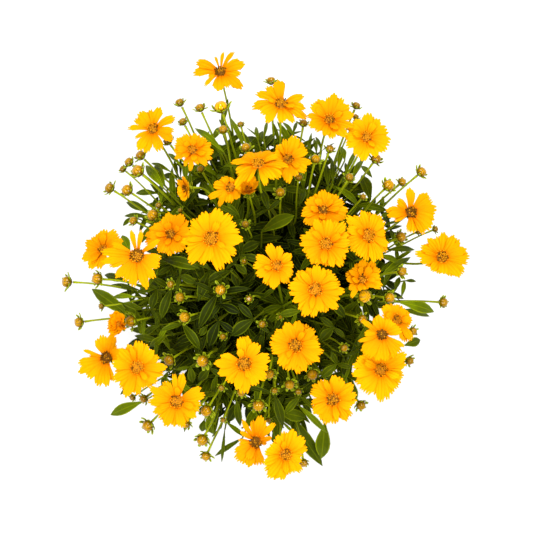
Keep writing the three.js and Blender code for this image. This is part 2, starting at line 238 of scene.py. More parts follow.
# Mottling, soft patches of a given scale, is shared by the pot, the soil and the plant.
mottling = bpy.data.node_groups.new("mottling", "ShaderNodeTree")
for wanted, normal in (("Scale", 100), ("Detail", 3), ("Contrast", 0.25)):
    socket = mottling.interface.new_socket(wanted, in_out="INPUT", socket_type="NodeSocketFloat")
    socket.default_value = normal
mottling.interface.new_socket("Patches", in_out="OUTPUT", socket_type="NodeSocketFloat")
group_in = add_node(mottling, "NodeGroupInput", (-600, 0))
group_out = add_node(mottling, "NodeGroupOutput", (400, 0))
where = add_node(mottling, "ShaderNodeTexCoord", (-600, 200))
patches = add_node(mottling, "ShaderNodeTexNoise", (-400, 100))
mottling.links.new(where.outputs["Object"], patches.inputs["Vector"])
for wanted in ("Scale", "Detail"):
    mottling.links.new(group_in.outputs[wanted], patches.inputs[wanted])
spread = add_node(mottling, "ShaderNodeMapRange", (100, 100))
mottling.links.new(patches.outputs["Fac"], spread.inputs["Value"])
for end, sign in (("From Min", "SUBTRACT"), ("From Max", "ADD")):
    limit = add_math(mottling, (-150, -150), sign, 0.5, group_in.outputs["Contrast"])
    mottling.links.new(limit, spread.inputs[end])
mottling.links.new(spread.outputs["Result"], group_out.inputs["Patches"])


def add_mottling(tree, place, scale, detail=3, contrast=0.25):
    """Soft patches between 0 and 1."""
    made = add_node(tree, "ShaderNodeGroup", place, {"node_tree": mottling},
                    Scale=scale, Detail=detail, Contrast=contrast)
    return made.outputs["Patches"]


pot_plastic, tree, shader = new_material("black_pot_plastic", 0.5)
dust = add_mottling(tree, (-800, 100), 28, 6)
grain = add_mottling(tree, (-800, -300), 900, 2)
colour = add_ramp(tree, (-450, 100), dust, (0, (0.010, 0.010, 0.010)), (1, (0.036, 0.033, 0.030)))
tree.links.new(colour, shader.inputs["Base Color"])
gloss = add_ramp(tree, (-450, -100), dust, (0, (0.36, 0.36, 0.36)), (1, (0.6, 0.6, 0.6)))
tree.links.new(gloss, shader.inputs["Roughness"])
add_bump(tree, shader, grain, 0.2, 0.0002)

pot = begin(bpy.ops.mesh.primitive_cylinder_add, vertices=pot_sides, radius=pot_foot_radius,
            depth=pot_height, location=(0, 0, pot_height / 2))
widening = pot_top_radius / pot_foot_radius
pick("faces", is_top)
bpy.ops.transform.resize(value=(widening, widening, 1))
bpy.ops.mesh.inset(thickness=pot_wall)
bpy.ops.mesh.extrude_region_move(TRANSFORM_OT_translate={"value": (0, 0, pot_wall - pot_height)})
narrowing = (pot_foot_radius - pot_wall) / (pot_top_radius - pot_wall)
bpy.ops.transform.resize(value=(narrowing, narrowing, 1))


def is_outer_wall(face):
    """Whether a face stands upright and looks away from the pot's middle."""
    return abs(face.normal.z) < 0.5 and face.normal.dot(face.calc_center_median().xy.to_3d()) > 0


pick("faces", is_outer_wall)
bpy.ops.mesh.bisect(plane_co=(0, 0, pot_height - rim_height), plane_no=(0, 0, 1))
pick("faces", lambda face: is_outer_wall(face)
     and face.calc_center_median().z > pot_height / 2 - rim_height)
bpy.ops.mesh.extrude_region_shrink_fatten(TRANSFORM_OT_shrink_fatten={"value": rim_width})
bpy.ops.object.mode_set(mode="OBJECT")
for k in range(drain_holes):
    turn = (k + 0.5) / drain_holes * 2 * pi
    bpy.ops.object.select_all(action="DESELECT")
    bpy.ops.mesh.primitive_cylinder_add(
        vertices=24, radius=drain_radius, depth=drill_length,
        location=(drain_ring * cos(turn), drain_ring * sin(turn), 0))
    drill = bpy.context.object
    cut = pot.modifiers.new("drain_hole", "BOOLEAN")
    cut.object = drill
    bpy.context.view_layer.objects.active = pot
    bpy.ops.object.modifier_apply(modifier=cut.name)
    bpy.data.objects.remove(drill)
edges = pot.modifiers.new("soft_edges", "BEVEL")
edges.width = edge_rounding
edges.segments = 2
edges.limit_method = "ANGLE"
edges.angle_limit = radians(40)
finish_piece(pot, "nursery_pot", [pot_plastic], "pot", "pot")


# ---- Soil --------------------------------------------------------------------------------
# Peat potting soil pressed in by hand to just under the rim, with bark crumbs and a few
# white grains of perlite lying on it.
soil_top = 136 * MM
soil_fall = 3 * MM
soil_foot = 3 * MM
soil_gap = 0.3 * MM
soil_sides = 72
soil_rings = 16
soil_relief = 2.2 * MM
clods_per_metre = 90
crumbs_lying = 420
crumb_size = (0.9, 2.6)
crumb_breadth = (0.6, 1.3)
crumb_height = (0.4, 0.8)
crumb_inset = 4
crumb_sinking = 1
white_share = 0.12


def random_from(seed):
    """A repeatable run of random numbers between 0 and 1."""
    prime = 2147483647
    state = seed * 7919 + 17

    def draw():
        nonlocal state
        state = state * 16807 % prime
        return state / prime

    return draw


def mix(low, high, share):
    """The value that lies a share of the way from low to high."""
    return low + (high - low) * share


soil_material, tree, shader = new_material("peat_soil", 0.95)
clumps = add_mottling(tree, (-800, 100), 160, 8, 0.2)
fibres = add_mottling(tree, (-800, -200), 900, 6, 0.2)
tone_of_crumb = add_node(tree, "ShaderNodeAttribute", (-800, 400), {"attribute_name": "tone"})
colour = add_ramp(tree, (-450, 100), clumps, (0, (0.008, 0.005, 0.003)), (1, (0.050, 0.030, 0.018)))
colour = add_mix(tree, (-200, 200), tone_of_crumb.outputs["Fac"], colour, (0.62, 0.60, 0.55))
tree.links.new(colour, shader.inputs["Base Color"])
add_bump(tree, shader, fibres, 0.8, 0.001)


class Pile:
    """Copies of modelled shapes that are gathered into one mesh."""

    def __init__(self):
        self.points, self.faces, self.maps, self.tones, self.finishes = [], [], [], [], []
        self.count = 0

    def add(self, shape, points, tone=0.0, finish=0):
        """Adds a copy: its points in millimetres, its tone, and which material it wears."""
        self.points.append(points)
        self.maps.append(shape.map)
        self.tones.append(np.broadcast_to(np.asarray(tone, dtype=float), (len(points),)))
        self.faces.extend([tuple(corner + self.count for corner in face) for face in shape.faces])
        self.finishes.extend([finish] * len(shape.faces))
        self.count += len(points)

    def build(self, name):
        """The pile as an object whose mesh has a UV map and the copies' tones."""
        mesh = bpy.data.meshes.new(name)
        mesh.from_pydata((np.concatenate(self.points) * MM).tolist(), [], self.faces)
        corners = np.empty(len(mesh.loops), dtype=np.int32)
        mesh.loops.foreach_get("vertex_index", corners)
        uv_map = mesh.uv_layers.new(name="lengthwise")
        uv_map.data.foreach_set("uv", np.concatenate(self.maps)[corners].ravel())
        tones = mesh.attributes.new("tone", "FLOAT", "POINT")
        tones.data.foreach_set("value", np.concatenate(self.tones))
        mesh.polygons.foreach_set("material_index", self.finishes)
        thing = bpy.data.objects.new(name, mesh)
        bpy.context.scene.collection.objects.link(thing)
        return thing


class Shape:
    """A modelled shape that is ready to be copied: x across, y along, z up.

    Its map runs from margin to margin, however wide its rows say it is there.
    """

    def __init__(self, thing, rows=((0, 1), (1, 1))):
        apply_modifiers(thing)
        mesh = thing.data
        self.points = np.array([corner.co for corner in mesh.vertices])
        self.faces = [tuple(face.vertices) for face in mesh.polygons]
        half = np.maximum(np.interp(self.points[:, 1], *zip(*rows)), 0.02)
        across = np.clip(self.points[:, 0] / half / 2 + 0.5, 0, 1)
        self.map = np.stack([across, self.points[:, 1]], axis=1)
        bpy.data.objects.remove(thing)


soil_edge = soil_top - soil_fall
edge_radius = mix(pot_foot_radius, pot_top_radius, soil_edge / pot_height) - pot_wall - soil_gap
foot_radius = pot_foot_radius - pot_wall - soil_gap
soil = begin(bpy.ops.mesh.primitive_cylinder_add, vertices=soil_sides, radius=foot_radius,
             depth=soil_edge - soil_foot, location=(0, 0, (soil_edge + soil_foot) / 2))
pick("faces", is_top)
bpy.ops.transform.resize(value=(edge_radius / foot_radius, edge_radius / foot_radius, 1))
for ring in range(soil_rings):
    bpy.ops.mesh.inset(thickness=edge_radius / (soil_rings + 1))
bpy.ops.mesh.poke()
apply_modifiers(soil)
for corner in soil.data.vertices:
    radius = corner.co.xy.length
    if corner.co.z > soil_edge - MM and radius < 0.99 * edge_radius:
        clods = noise.fractal(corner.co * clods_per_metre, 0.6, 2.1, 4)
        corner.co.z = mix(soil_top, soil_edge, (radius / edge_radius) ** 2) + soil_relief * clods
finish_piece(soil, "peat_soil_bed", [soil_material], "soil", "soil", smooth_angle=60)

crumb = Shape(begin(bpy.ops.mesh.primitive_ico_sphere_add, subdivisions=1, radius=1))
draw = random_from(7)
crumbs = Pile()
for k in range(crumbs_lying):
    radius, turn = (edge_radius / MM - crumb_inset) * sqrt(draw()), 2 * pi * draw()
    size = mix(*crumb_size, draw() ** 2)
    centre = np.array([radius * cos(turn), radius * sin(turn), soil_top / MM - crumb_sinking])
    squash = np.array([mix(*range_of, draw())
                       for range_of in (crumb_breadth, crumb_breadth, crumb_height)])
    crumbs.add(crumb, crumb.points * squash * size + centre, float(draw() < white_share))
finish_piece(crumbs.build("crumbs"), "bark_and_perlite_crumbs", [soil_material], "soil",
             smooth_angle=20)


# ---- Stems and stalks --------------------------------------------------------------------
# Twenty leafy stems rise out of the soil and fan outwards. High up each one sends out slim,
# bare, yellow-green stalks, one under each head, and every stalk ends square under its head.
ground = 136
crown_depth = 60
root_depth = 10
stem_radius = 2.1
stem_side = np.array([1.0, 0.2, 0])
stem_shade = 0.9
stalk_foot_radius = 1.5
stalk_radius = 1.0
stalk_flare = 1.4
small_head = 8
small_stalk = 0.8
fork_share = 0.6
lowest_fork = 0.32
second_fork_drop = 6
parting = 0.2
neck_pull = 0.35
open_neck = 4.6
bud_neck = 0.62
bud_tilt = 10
bud_tilt_outward = 0.22
line_steps = 12
along_line = np.linspace(0, 1, line_steps + 1)

# Open blooms: centre x, y, z; width across; tilt; direction it leans to; slope of its rays.
blooms = [
    (-64, 221, 310, 51, 12, 105, 8), (1, 167, 364, 55, 18, 90, 3), (50, 147, 371, 46, 13, 60, 22),
    (-134, 148, 338, 48, 10, 130, 3), (88, 129, 372, 47, 8, 40, 10),
    (-89, 113, 380, 43, 8, 120, 9), (6, 101, 388, 47, 24, 20, 12), (-22, 89, 413, 58, 37, 92, -1),
    (-93, 76, 374, 26, 48, 200, 30), (-48, 72, 396, 42, 33, 215, 16),
    (-32, 70, 380, 20, 15, 110, 52), (42, 44, 407, 46, 18, 100, 9),
    (130, 48, 382, 49, 18, 20, 12), (-109, 26, 380, 43, 12, 150, 14),
    (-67, 14, 421, 62, 8, 180, 1), (-182, 18, 343, 41, 15, 180, 12),
    (-142, 3, 392, 60, 8, 260, 0), (44, 7, 427, 52, 10, 180, 8), (84, 18, 418, 54, 18, 340, 5),
    (162, 5, 368, 52, 17, 10, 10), (-4, -14, 425, 44, 6, 100, 8), (80, -23, 395, 40, 11, 60, 18),
    (32, -38, 434, 56, 4, 0, 4), (-163, -60, 345, 24, 12, 200, 48),
    (-177, -93, 333, 52, 16, 190, 12), (-143, -105, 362, 57, 10, 270, 5),
    (-103, -139, 361, 56, 8, 250, 6), (-36, -105, 399, 58, 6, 300, 4),
    (14, -88, 408, 54, 8, 250, 6), (98, -77, 407, 42, 18, 250, 9), (114, -61, 385, 40, 16, 40, 2),
    (98, -109, 380, 55, 8, 300, 2), (52, -138, 380, 52, 16, 210, 8),
    (-24, -178, 346, 50, 17, 240, 15), (4, -191, 360, 50, 14, 330, 6),
]
# Leafy stems: the blooms each carries, its larger buds, and the small buds between them, as
# x, y, z and width across.
stems = [
    ([24, 25], [(-226, -9, 303, 11), (-189, -11, 335, 11), (-211, -53, 308, 10),
                (-153, -56, 340, 11)], [(-186, -38, 323, 6)]),
    ([15], [(-110, -23, 373, 7), (-100, -37, 380, 9), (-95, -57, 380, 10),
            (-59, -32, 396, 10)], [(-57, -76, 376, 6), (-36, -3, 391, 5)]),
    ([26, 27], [(-113, -96, 340, 10), (-77, -100, 375, 11), (-75, -147, 339, 11)],
     [(-59, -125, 355, 6), (-58, -156, 334, 5)]),
    ([], [(-140, -134, 323, 8), (-136, -161, 316, 11), (-96, -160, 328, 8),
          (-79, -176, 330, 11), (-76, -192, 314, 9)], [(-153, -132, 312, 6)]),
    ([28], [(-11, -113, 376, 9), (-22, -143, 364, 11), (-39, -130, 362, 8)],
     [(-6, -128, 361, 6)]),
    ([21, 23, 29], [(-18, -65, 388, 7)], [(-31, -40, 390, 6), (0, -57, 383, 4)]),
    ([34, 35], [(24, -199, 316, 8)], [(-12, -156, 324, 5)]),
    ([33], [(63, -87, 374, 7), (9, -123, 371, 9), (32, -112, 358, 10)], [(18, -129, 359, 6)]),
    ([32], [(131, -97, 346, 8), (81, -142, 347, 9)], []),
    ([22, 30, 31], [(84, -35, 373, 12), (122, -10, 373, 9), (110, -35, 363, 10),
                    (167, -37, 344, 9), (81, -59, 380, 8), (134, -68, 354, 8)], []),
    ([13, 20], [(110, 79, 372, 11), (126, 87, 355, 8), (148, 101, 342, 10),
                (123, 28, 360, 10)], [(142, 35, 354, 6), (161, 40, 342, 6)]),
    ([12, 18, 19], [(70, 86, 378, 8)], [(84, 67, 372, 6)]),
    ([3, 5], [(82, 178, 327, 8), (100, 113, 350, 10)], [(81, 164, 332, 6)]),
    ([7, 8], [(19, 87, 374, 7), (0, 68, 388, 9), (36, 106, 374, 9), (51, 118, 370, 8)], []),
    ([2], [(-9, 209, 318, 9), (25, 154, 342, 8)], []),
    ([], [(-62, 170, 347, 13), (-59, 142, 358, 9), (-35, 118, 375, 9)],
     [(-41, 150, 351, 6)]),
    ([1], [(-108, 186, 313, 9), (-85, 175, 329, 9), (-103, 159, 331, 8),
           (-120, 142, 316, 9)], []),
    ([6, 9, 10, 11], [(-82, 100, 358, 7), (-35, 34, 394, 7)], [(-102, 55, 363, 5)]),
    ([4], [(-149, 126, 316, 10), (-160, 116, 326, 9), (-167, 110, 320, 7),
           (-148, 101, 346, 12), (-180, 88, 325, 10), (-159, 81, 344, 11)], []),
    ([14, 16, 17], [(-130, 50, 363, 11), (-151, 47, 351, 8)], [(-125, 62, 356, 6)]),
]


def add_reading(tree, left):
    """Reads a copy's lengthwise map, whole and as its two parts, and its tone."""
    reading = add_node(tree, "ShaderNodeUVMap", (left, 200), {"uv_map": "lengthwise"})
    split = add_node(tree, "ShaderNodeSeparateXYZ", (left + 200, 200))
    tree.links.new(reading.outputs["UV"], split.inputs["Vector"])
    own_tone = add_node(tree, "ShaderNodeAttribute", (left, -100), {"attribute_name": "tone"})
    return (reading.outputs["UV"], split.outputs["X"], split.outputs["Y"],
            own_tone.outputs["Fac"])


stalk_green, tree, shader = new_material("stalk_green", 0.42, 0.12)
_, across, along, own_tone = add_reading(tree, -1000)
blotches = add_mottling(tree, (-1000, -300), 240, 4)
colour = add_ramp(tree, (-550, 200), along,
                  (0, (0.090, 0.12, 0.001)), (0.45, (0.25, 0.31, 0.002)), (1, (0.40, 0.46, 0.003)))
shadow_green = add_mix(tree, (-350, 0), blotches, (0.050, 0.070, 0.003), (0.12, 0.155, 0.005))
colour = add_mix(tree, (-200, 200), own_tone, colour, shadow_green)
tree.links.new(colour, shader.inputs["Base Color"])
ribs = add_math(tree, (-550, -300), "SINE", add_math(tree, (-700, -300), "MULTIPLY", across, 60))
add_bump(tree, shader, ribs, 0.15, 0.0003)

stalk = begin(bpy.ops.mesh.primitive_cylinder_add, vertices=7, radius=1, depth=1,
              rotation=(-pi / 2, 0, 0), location=(0, 0.5, 0))
for k in range(1, line_steps):
    bpy.ops.mesh.select_all(action="SELECT")
    bpy.ops.mesh.bisect(plane_co=(0, k / line_steps, 0), plane_no=(0, 1, 0))
stalk = Shape(stalk)


def fan(which):
    """The direction a stem leans to, as run over rise: the mean of its heads' directions."""
    open_ones, large, _ = stems[which]
    heads = [blooms[n - 1][:3] for n in open_ones] + [bud[:3] for bud in large]
    return np.mean([(x / (z - ground + crown_depth), y / (z - ground + crown_depth))
                    for x, y, z in heads], axis=0)


fans = [fan(which) for which in range(len(stems))]
fan_point = np.array([0, 0, ground - crown_depth])


def on_stem(which, z):
    """The point of a stem at a height."""
    return np.array([*fans[which] * (z - fan_point[2]), z])


def unit(vector):
    """A vector of length one in the same direction."""
    return vector / np.linalg.norm(vector)


def facing_of(tilt, leans_to):
    """The way a head faces, from its tilt and the direction it leans to."""
    tilt, leans_to = radians(tilt), radians(leans_to)
    return np.array([sin(tilt) * cos(leans_to), sin(tilt) * sin(leans_to), cos(tilt)])


def turned_to(facing):
    """The matrix that turns a head from upright to the way it faces."""
    return np.array(Vector((0, 0, 1)).rotation_difference(Vector(facing)).to_matrix())


class Head:
    """A bloom or a bud: where it is, which way it faces and how wide it is."""

    def __init__(self, centre, across, facing, number=0):
        self.centre, self.across, self.facing = np.array(centre, dtype=float), across, facing
        self.number, self.turn = number, turned_to(facing)
        self.neck = self.centre - facing * (open_neck if number else bud_neck * across)

    def put(self, points):
        """Points given in the head's own frame, taken to their place on the plant."""
        return points @ self.turn.T + self.centre


def heads_of(which):
    """A stem's heads from the highest down, then its small buds. Buds lean outward."""
    open_ones, large, small = stems[which]
    found = [Head(blooms[n - 1][:3], blooms[n - 1][3], facing_of(*blooms[n - 1][4:6]), n)
             for n in open_ones]
    closed = [Head((x, y, z), across, facing_of(bud_tilt + bud_tilt_outward * hypot(x, y),
                                                degrees(atan2(y, x))))
              for x, y, z, across in large + small]
    order = sorted(found + closed[:len(large)], key=lambda head: -head.centre[2])
    return order + closed[len(large):]


def curve_to(start, head):
    """A stalk's line: it bows out from its stem and ends square under its head."""
    end = head.neck
    run = np.linalg.norm(end - start)
    out = unit(start - fan_point)
    bow = (end - start) - np.dot(end - start, out) * out
    low = start + parting * (end - start) + parting * run * unit(bow)
    high = end - neck_pull * run * head.facing
    t = along_line[:, None]
    left = 1 - t
    return left**3 * start + 3 * left**2 * t * low + 3 * left * t**2 * high + t**3 * end


def laid_along(shape, line, side, wide, roll=None):
    """The shape's points laid along a line: across goes to the side, and up square to both."""
    steps = np.gradient(line, axis=0)
    steps /= np.linalg.norm(steps, axis=1)[:, None]
    sides = side - np.sum(side * steps, axis=1)[:, None] * steps
    sides /= np.linalg.norm(sides, axis=1)[:, None]
    ups = np.cross(sides, steps)
    if roll is not None:
        turns = np.broadcast_to(roll, (len(line),))[:, None]
        sides, ups = (np.cos(turns) * sides + np.sin(turns) * ups,
                      np.cos(turns) * ups - np.sin(turns) * sides)
    across, share, up = shape.points.T
    at = np.linspace(0, 1, len(line))
    spread_over = [np.stack([np.interp(share, at, part[:, axis]) for axis in range(3)], axis=1)
                   for part in (line, sides, ups)]
    widths = np.interp(share, at, np.broadcast_to(wide, (len(line),)))
    return (spread_over[0] + (across * widths)[:, None] * spread_over[1]
            + (up * widths)[:, None] * spread_over[2])


def across_from(facing):
    """A level direction square to the way something faces."""
    flat = np.array([-facing[1], facing[0], 0])
    return unit(flat) if np.linalg.norm(flat) > 0.01 else np.array([1.0, 0, 0])


def tops_of(which):
    """The heights of a stem's highest and lowest fork."""
    highest = heads_of(which)[0].centre[2]
    return mix(ground, highest, fork_share), mix(ground, highest, lowest_fork)


def fork_points(which):
    """Where each of a stem's heads has its stalk's foot."""
    fork, low_fork = tops_of(which)
    count = len(heads_of(which))
    return [on_stem(which, fork if n == 0 else
                    mix(fork - second_fork_drop, low_fork, (n - 1) / count)) for n in range(count)]


def tapering(foot, tip):
    """Radii that run from one at the foot to another at the tip."""
    return np.linspace(foot, tip, len(along_line))


green_piles = [Pile() for _ in stems]
for which, pile in enumerate(green_piles):
    low, high = on_stem(which, ground - root_depth), on_stem(which, tops_of(which)[0])
    main = low + along_line[:, None] * (high - low)
    pile.add(stalk, laid_along(stalk, main, stem_side, tapering(stem_radius, stalk_foot_radius)),
             stem_shade)
    for head, start in zip(heads_of(which), fork_points(which)):
        widths = tapering(stalk_foot_radius, stalk_radius)
        widths *= small_stalk if head.across < small_head else 1
        widths[-1] *= stalk_flare
        pile.add(stalk, laid_along(stalk, curve_to(start, head), across_from(head.facing), widths))


# ---- Bracts ------------------------------------------------------------------------------
# Under every head sit eight narrow bracts, fleshy and smooth, that spread out and curl up at their
# tips; under an open head they spread from a shallow green cup.
bract_count = 8
bract_steps = 6
bract_rows = [(0, 0.7), (0.3, 0.95), (0.6, 1), (0.85, 0.85), (1, 0.4)]
bract_fold = 0.45
bract_thickness = 0.22
bract_length = (5.4, 7.2)
bract_width = (1.35, 1.8)
bract_slope = (-8, 20)
bract_curl = (30, 115)
bract_tone = (0, 0.7)
bract_scatter = 0.35
smallest_bracts = 0.55
full_bud = 10
# How far out and how high the ring of bracts starts: in millimetres under an open head, and
# as shares of its width under a bud.
open_ring = (2.2, -2.6)
bud_ring = (0.40, -0.20)
cup_profile = [(0.5, -4.6), (1.3, -4.2), (2.5, -2.6), (3.2, -0.4), (2.6, 0.6), (0.4, 0.7)]
cup_sides = 12
cup_tone = 0.25


def tongue(columns, rows, fold, thickness):
    """A flat tongue, wide as its rows say, with its margins raised, given a little thickness.

    A row that has its width is set aside until the last is done, so it isn't picked again.
    """
    made = begin(bpy.ops.mesh.primitive_grid_add, x_subdivisions=columns,
                 y_subdivisions=len(rows) - 1, size=2)
    aside = 10
    gaps = np.linspace(-1, 1, len(rows))
    for here, (share, width) in zip(gaps, rows):
        pick("corners", lambda corner: abs(corner.co.y - here) < 0.01 and abs(corner.co.z) < 0.01)
        bpy.ops.transform.resize(value=(max(width, 0.001), 1, 1), center_override=(0, 0, 0))
        bpy.ops.transform.translate(value=(0, aside + share - here, 0))
    bpy.ops.mesh.select_all(action="SELECT")
    bpy.ops.transform.translate(value=(0, -aside, 0))
    bpy.ops.mesh.remove_doubles(threshold=0.004)
    apply_modifiers(made)
    for corner in made.data.vertices:
        corner.co.z = fold(corner.co.x, corner.co.y)
    walls = made.modifiers.new("thickness", "SOLIDIFY")
    walls.thickness = thickness
    walls.offset = 0
    return Shape(made, rows)


bract = tongue(4, bract_rows, lambda x, y: bract_fold * abs(x), bract_thickness)


def add_range(tree, place, value, low, high):
    """0 where the value is low or less, 1 where it is high or more, smooth between them."""
    made = add_node(tree, "ShaderNodeMapRange", place, {"interpolation_type": "SMOOTHSTEP"})
    for name, given in (("Value", value), ("From Min", low), ("From Max", high)):
        feed(tree, made.inputs[name], given)
    return made.outputs["Result"]


def add_rib_distance(tree, place, across):
    """How far a point is from the rib, as a share of the width: 0 there, 0.5 at the margins."""
    left, up = place
    return add_math(tree, place, "ABSOLUTE",
                    add_math(tree, (left - 100, up), "SUBTRACT", across, 0.5))


bract_green, tree, shader = new_material("bract_green", 0.4, 0.12)
_, across, along, own_tone = add_reading(tree, -1000)
from_rib = add_rib_distance(tree, (-600, 0), across)
body = add_mix(tree, (-500, 300), own_tone, (0.17, 0.22, 0.002), (0.060, 0.085, 0.001))
body = add_mix(tree, (-350, 300), add_range(tree, (-500, 100), along, 0.4, 1.0),
               body, (0.34, 0.40, 0.006))
colour = add_mix(tree, (-200, 300), add_range(tree, (-450, 0), from_rib, 0.25, 0.42),
                 body, (0.40, 0.47, 0.010))
tree.links.new(colour, shader.inputs["Base Color"])
fleshy = add_mottling(tree, (-600, -400), 700, 3)
add_bump(tree, shader, fleshy, 0.1, 0.0003)

cup = begin(bpy.ops.mesh.primitive_cylinder_add, vertices=cup_sides, radius=cup_profile[0][0],
            depth=0.2, location=(0, 0, cup_profile[0][1] - 0.1))
for (inner, low), (outer, high) in zip(cup_profile, cup_profile[1:]):
    pick("faces", lambda face: is_top(face) and len(face.verts) == cup_sides)
    bpy.ops.mesh.extrude_region_move(TRANSFORM_OT_translate={"value": (0, 0, high - low)})
    bpy.ops.transform.resize(value=(outer / inner, outer / inner, 1))
cup = Shape(cup)


def add_bracts(pile, head, draw):
    """The ring of bracts round a head, and under an open one its cup."""
    open_one = head.number > 0
    size = 1.0 if open_one else max(head.across / full_bud, smallest_bracts)
    foot_r, foot_z = open_ring if open_one else (share * head.across for share in bud_ring)
    first = 2 * pi * draw()
    for k in range(bract_count):
        turn = first + (k + bract_scatter * (draw() - 0.5)) / bract_count * 2 * pi
        length = size * mix(*bract_length, draw())
        slope = radians(mix(*bract_slope, draw()))
        curl = radians(mix(*bract_curl, draw()))
        out = np.array([cos(turn), sin(turn), 0])
        line = [np.array([0, 0, foot_z]) + foot_r * out]
        for step in range(bract_steps):
            angle = slope + curl * step / bract_steps
            line.append(line[-1] + length / bract_steps
                        * (cos(angle) * out + np.array([0, 0, sin(angle)])))
        side = np.array([sin(turn), -cos(turn), 0])
        laid = laid_along(bract, np.array(line), side, size * mix(*bract_width, draw()))
        pile.add(bract, head.put(laid), mix(*bract_tone, draw()), 2)
    if open_one:
        pile.add(cup, head.put(cup.points), cup_tone)


for which, pile in enumerate(green_piles):
    draw = random_from(300 + which)
    for head in heads_of(which):
        add_bracts(pile, head, draw)


# ---- Buds --------------------------------------------------------------------------------
# Closed flower buds: glossy balls of eight overlapping inner bracts drawn together at the
# top, olive when young, then brown-orange. Two are opening, and their golden rays show.
bud_lobes = 8
bud_seams = 0.93
bud_plumpness = 1.12
youngest_bud = 6.5
ripening = 5
ripe_scatter = 0.5
opening_buds = [(-62, 170), (84, -35)]
opening_tone = 2

bud = begin(bpy.ops.mesh.primitive_uv_sphere_add, segments=2 * bud_lobes, ring_count=9, radius=1)
pick("corners", lambda corner: corner.co.xy.length > 0.1 and
     round(atan2(corner.co.y, corner.co.x) / (pi / bud_lobes)) % 2 == 1)
bpy.ops.transform.resize(value=(bud_seams, bud_seams, 1), center_override=(0, 0, 0))
for pressed, shift in ((lambda corner: corner.co.z > 0.9, -0.1),
                       (lambda corner: corner.co.z > 0.88, -0.14),
                       (lambda corner: corner.co.z < -0.6, 0.12)):
    pick("corners", pressed)
    bpy.ops.transform.translate(value=(0, 0, shift))
bud = Shape(bud)
bud.map = np.stack([np.arctan2(bud.points[:, 1], bud.points[:, 0]) / (2 * pi) + 0.5,
                    bud.points[:, 2] / 2 + 0.5], axis=1)


def add_tint(tree, place, colour, mask, share, tinge):
    """Turns a colour towards a tinge where a mask says so, by a share of the mask."""
    left, up = place
    strength = add_math(tree, (left - 150, up - 250), "MULTIPLY", mask, share)
    return add_mix(tree, place, strength, colour, tinge)


bud_skin, tree, shader = new_material("bud_skin", 0.06, 0.3)
_, across, along, own_tone = add_reading(tree, -1000)
blush = add_mottling(tree, (-1000, -300), 420, 4)
# Both ramps run from a dark foot and sides to a bright golden top: these are the bud's own olive
# and gold, with painted shade darkening its sides.
young = add_ramp(tree, (-550, 300), along, (0.45, (0.075, 0.058, 0.000)),
                 (0.78, (0.26, 0.14, 0.000)), (1, (0.47, 0.25, 0.000)))
ripe = add_ramp(tree, (-550, 0), along, (0.45, (0.14, 0.088, 0.000)),
                (0.78, (0.54, 0.26, 0.000)), (1, (0.86, 0.43, 0.000)))
colour = add_mix(tree, (-400, 200), own_tone, young, ripe)
colour = add_tint(tree, (-250, 200), colour, blush, 0.35, (0.16, 0.085, 0.000))
showing = add_math(tree, (-400, 450), "MULTIPLY", add_range(tree, (-550, 600), own_tone, 1.0, 2.0),
                   add_range(tree, (-550, 450), along, 0.4, 0.7))
colour = add_mix(tree, (-150, 300), showing, colour, (0.92, 0.46, 0.000))
seams = add_math(tree, (-700, -400), "SINE",
                 add_math(tree, (-850, -400), "MULTIPLY", across, 2 * pi * bud_lobes))
colour = add_tint(tree, (-50, 200), colour, add_range(tree, (-550, -400), seams, 0.55, 1.0),
                  0.75, (0.07, 0.045, 0.000))
tree.links.new(colour, shader.inputs["Base Color"])
add_bump(tree, shader, blush, 0.05, 0.0002)


def kept_in(value):
    """A value kept between 0 and 1."""
    return min(1, max(0, value))


for which, pile in enumerate(green_piles):
    draw = random_from(500 + which)
    for head in heads_of(which):
        if head.number:
            continue
        radius = bud_plumpness * head.across / 2
        turn = 2 * pi * draw()
        spun = bud.points @ np.array([[cos(turn), sin(turn), 0], [-sin(turn), cos(turn), 0],
                                      [0, 0, 1]])
        ripeness = kept_in((head.across - youngest_bud) / ripening + ripe_scatter * (draw() - 0.5))
        opening = tuple(head.centre[:2]) in opening_buds
        pile.add(bud, head.put(spun * radius), opening_tone if opening else ripeness, 1)
    finish_piece(pile.build("stalks"), f"stalks_and_buds_{which + 1:02d}",
                 [stalk_green, bud_skin, bract_green], "green", smooth_angle=60)


# ---- Leaves ------------------------------------------------------------------------------
# Narrow lance-shaped leaves, dark green and slightly hairy with paler ribs and margins. They
# stand in opposite pairs on the stems and on the leafy side shoots at their feet.
leaf_rows = [(0, 0.16), (0.12, 0.34), (0.25, 0.62), (0.38, 0.86), (0.5, 1), (0.63, 0.97),
             (0.76, 0.78), (0.89, 0.42), (1, 0)]
leaf_fold = 0.3
leaf_twist = 0.5
leaf_roll = 0.22
leaf_wave = 0.06
waves_along = (1.2, 2.4)
# The foliage: how high it may reach, and its tone, onto which shade and light are painted: leaves
# are painted darker with depth and in the shaded hollow among the blooms, and painted lighter
# towards the rim of the plant.
crown_top = 418
crown_fall = 0.0024
shallow = 30
deep = 135
deep_painted_shade = 0.0
rim_painted_light = 0.16
rim_light_reach = 160
shaded_hollow = np.array([-50, -45])
shaded_hollow_reach = 32
hollow_painted_shade = 0.0
# The large leaves on the stems. A pair of numbers here is for the lowest leaf and the highest,
# or the least and the most that is drawn.
leaf_length = (92, 62)
leaf_width = (16, 12)
leaf_rise = (32, 50)
leaf_fall = (-28, 8)
leaf_tone = (0.25, 0.8)
leaf_scatter = 0.5
leaf_sizes = (0.88, 1.06)
lowest_leaves = 8
inner_lean = 0.45
outer_lean = 0.75
inner_steepness = 18
least_room = 0.6
steepest_slopes = (80, 60)
